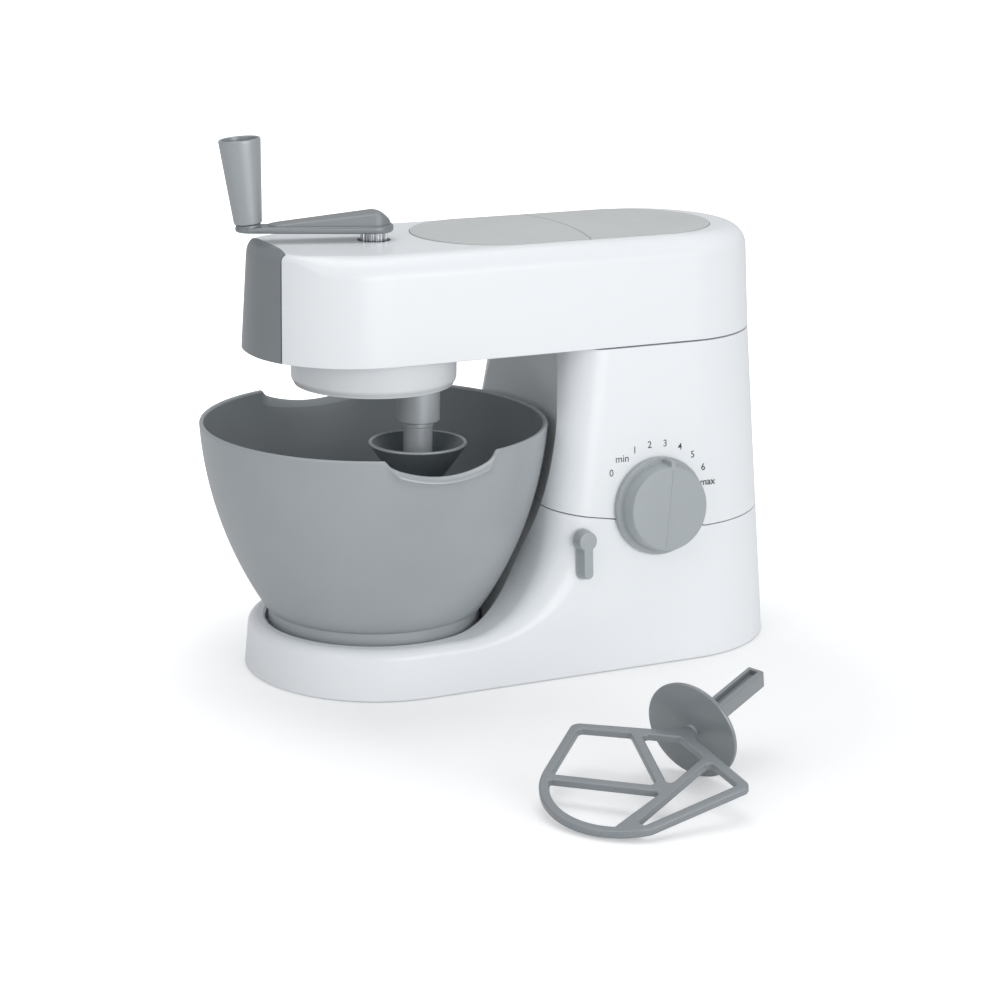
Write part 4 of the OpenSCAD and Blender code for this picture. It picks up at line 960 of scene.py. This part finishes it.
upper = max(sides, key=lambda f: (LAID.to_3x3() @ f.normal).z)
shank_edges = dict.fromkeys(e for v in shank["verts"] for e in v.link_edges)
bmesh.ops.inset_individual(bm, faces=[upper], thickness=CHANNEL_INSET, depth=0)
channel = bmesh.ops.extrude_discrete_faces(bm, faces=[upper])["faces"][0]
bmesh.ops.translate(bm, verts=channel.verts, vec=channel.normal * -CHANNEL_DEEP)
soften(bm, [e for e in shank_edges if e.is_valid], 0.8, 3)
piece(bm, "k_beater_body", "beater", beater_grey, ["k_beater"], angle=40, place=LAID)

# %% [markdown]
# ## Floor, light and camera
# A wide pale floor catches the shadow.
# It also glows faintly, and more so farther out, so that its edge melts into white.

# %% Floor
FLOOR_HALF, FLOOR_MIDDLE = 6.0, (0.08, -0.1, 0)
bm = bmesh.new()
bmesh.ops.create_grid(bm, x_segments=1, y_segments=1, size=FLOOR_HALF)
mesh = bpy.data.meshes.new("floor")
bm.to_mesh(mesh)
bm.free()
floor = add_object("floor", mesh)
floor_mat = bpy.data.materials.new("matte_white_paper_floor")
floor_mat.use_nodes = True
tree = floor_mat.node_tree
tree.nodes.remove(tree.nodes["Principled BSDF"])
bounce = add_node(tree, "ShaderNodeBsdfDiffuse", Color=linear("#f2f2f2"))
faint = add_node(tree, "ShaderNodeBsdfDiffuse", Color=(0.86, 0.86, 0.86, 1))
glow = add_node(tree, "ShaderNodeEmission", Color=(1, 1, 1, 1))
where = tree.nodes.new("ShaderNodeTexCoord")
reach = tree.nodes.new("ShaderNodeVectorMath")
reach.operation = "DISTANCE"
reach.inputs[1].default_value = FLOOR_MIDDLE
fade = add_node(tree, "ShaderNodeMapRange", From_Min=0.12, From_Max=0.55, To_Min=0.2, To_Max=1.0)
both = tree.nodes.new("ShaderNodeAddShader")
rays = tree.nodes.new("ShaderNodeLightPath")
mix = tree.nodes.new("ShaderNodeMixShader")
tree.links.new(where.outputs["Object"], reach.inputs[0])
tree.links.new(reach.outputs["Value"], fade.inputs["Value"])
tree.links.new(fade.outputs["Result"], glow.inputs["Strength"])
tree.links.new(faint.outputs["BSDF"], both.inputs[0])
tree.links.new(glow.outputs["Emission"], both.inputs[1])
tree.links.new(rays.outputs["Is Camera Ray"], mix.inputs["Fac"])
tree.links.new(bounce.outputs["BSDF"], mix.inputs[1])
tree.links.new(both.outputs["Shader"], mix.inputs[2])
tree.links.new(mix.outputs["Shader"], tree.nodes["Material Output"].inputs["Surface"])
mesh.materials.append(floor_mat)

# %% [markdown]
# The room is a soft white, and three large lamps model the form.

# %% Light
world = bpy.data.worlds.new("white_studio")
bpy.context.scene.world = world
world.use_nodes = True
tree = world.node_tree
for node in list(tree.nodes):
    tree.nodes.remove(node)
seen = add_node(tree, "ShaderNodeBackground", Color=(1, 1, 1, 1), Strength=1.0)
lit = add_node(tree, "ShaderNodeBackground", Color=(0.95, 0.97, 1, 1), Strength=0.55)
rays = tree.nodes.new("ShaderNodeLightPath")
mix = tree.nodes.new("ShaderNodeMixShader")
out = tree.nodes.new("ShaderNodeOutputWorld")
tree.links.new(rays.outputs["Is Camera Ray"], mix.inputs["Fac"])
tree.links.new(lit.outputs["Background"], mix.inputs[1])
tree.links.new(seen.outputs["Background"], mix.inputs[2])
tree.links.new(mix.outputs["Shader"], out.inputs["Surface"])


def softbox(name, place, aim, size, watts):
    lamp = bpy.data.lights.new(name, "AREA")
    lamp.shape, lamp.size, lamp.size_y, lamp.energy = "RECTANGLE", size[0], size[1], watts
    obj = add_object(name, lamp)
    obj.location = place
    obj.rotation_euler = (Vector(aim) - Vector(place)).to_track_quat("-Z", "Y").to_euler()


softbox("near_softbox", (0.3, -1.7, 0.42), (0.08, 0, 0.1), (1.3, 0.8), 10.0)
softbox("left_softbox", (-1.3, -0.7, 0.9), (0.0, 0, 0.1), (0.8, 0.9), 2.2)
softbox("top_softbox", (0.1, 0.1, 1.6), (0.08, 0, 0.1), (1.2, 1.2), 7.0)

# %% [markdown]
# The camera stands where the photographer stood, with a long lens.

# %% Camera
AIM, DISTANCE = (69.57, 0, 75.14), 1339.2
cam = bpy.data.cameras.new("photo_camera")
cam.sensor_width, cam.lens = 36.0, 95.09
cam_obj = add_object("photo_camera", cam)
az, el, roll = math.radians(-26.17), math.radians(15.41), math.radians(0.73)
back = Vector((math.sin(az) * math.cos(el), -math.cos(az) * math.cos(el), math.sin(el)))
right = Vector((math.cos(az), math.sin(az), 0))
up = back.cross(right)
axis_x = right * math.cos(roll) + up * math.sin(roll)
axis_y = up * math.cos(roll) - right * math.sin(roll)
spot = (Vector(AIM) + back * DISTANCE) * MM
turn = Matrix((axis_x, axis_y, back)).transposed()
cam_obj.matrix_world = Matrix.Translation(spot) @ turn.to_4x4()
cam.clip_end = 20
bpy.context.scene.camera = cam_obj
bpy.context.scene.view_settings.view_transform = "Standard"
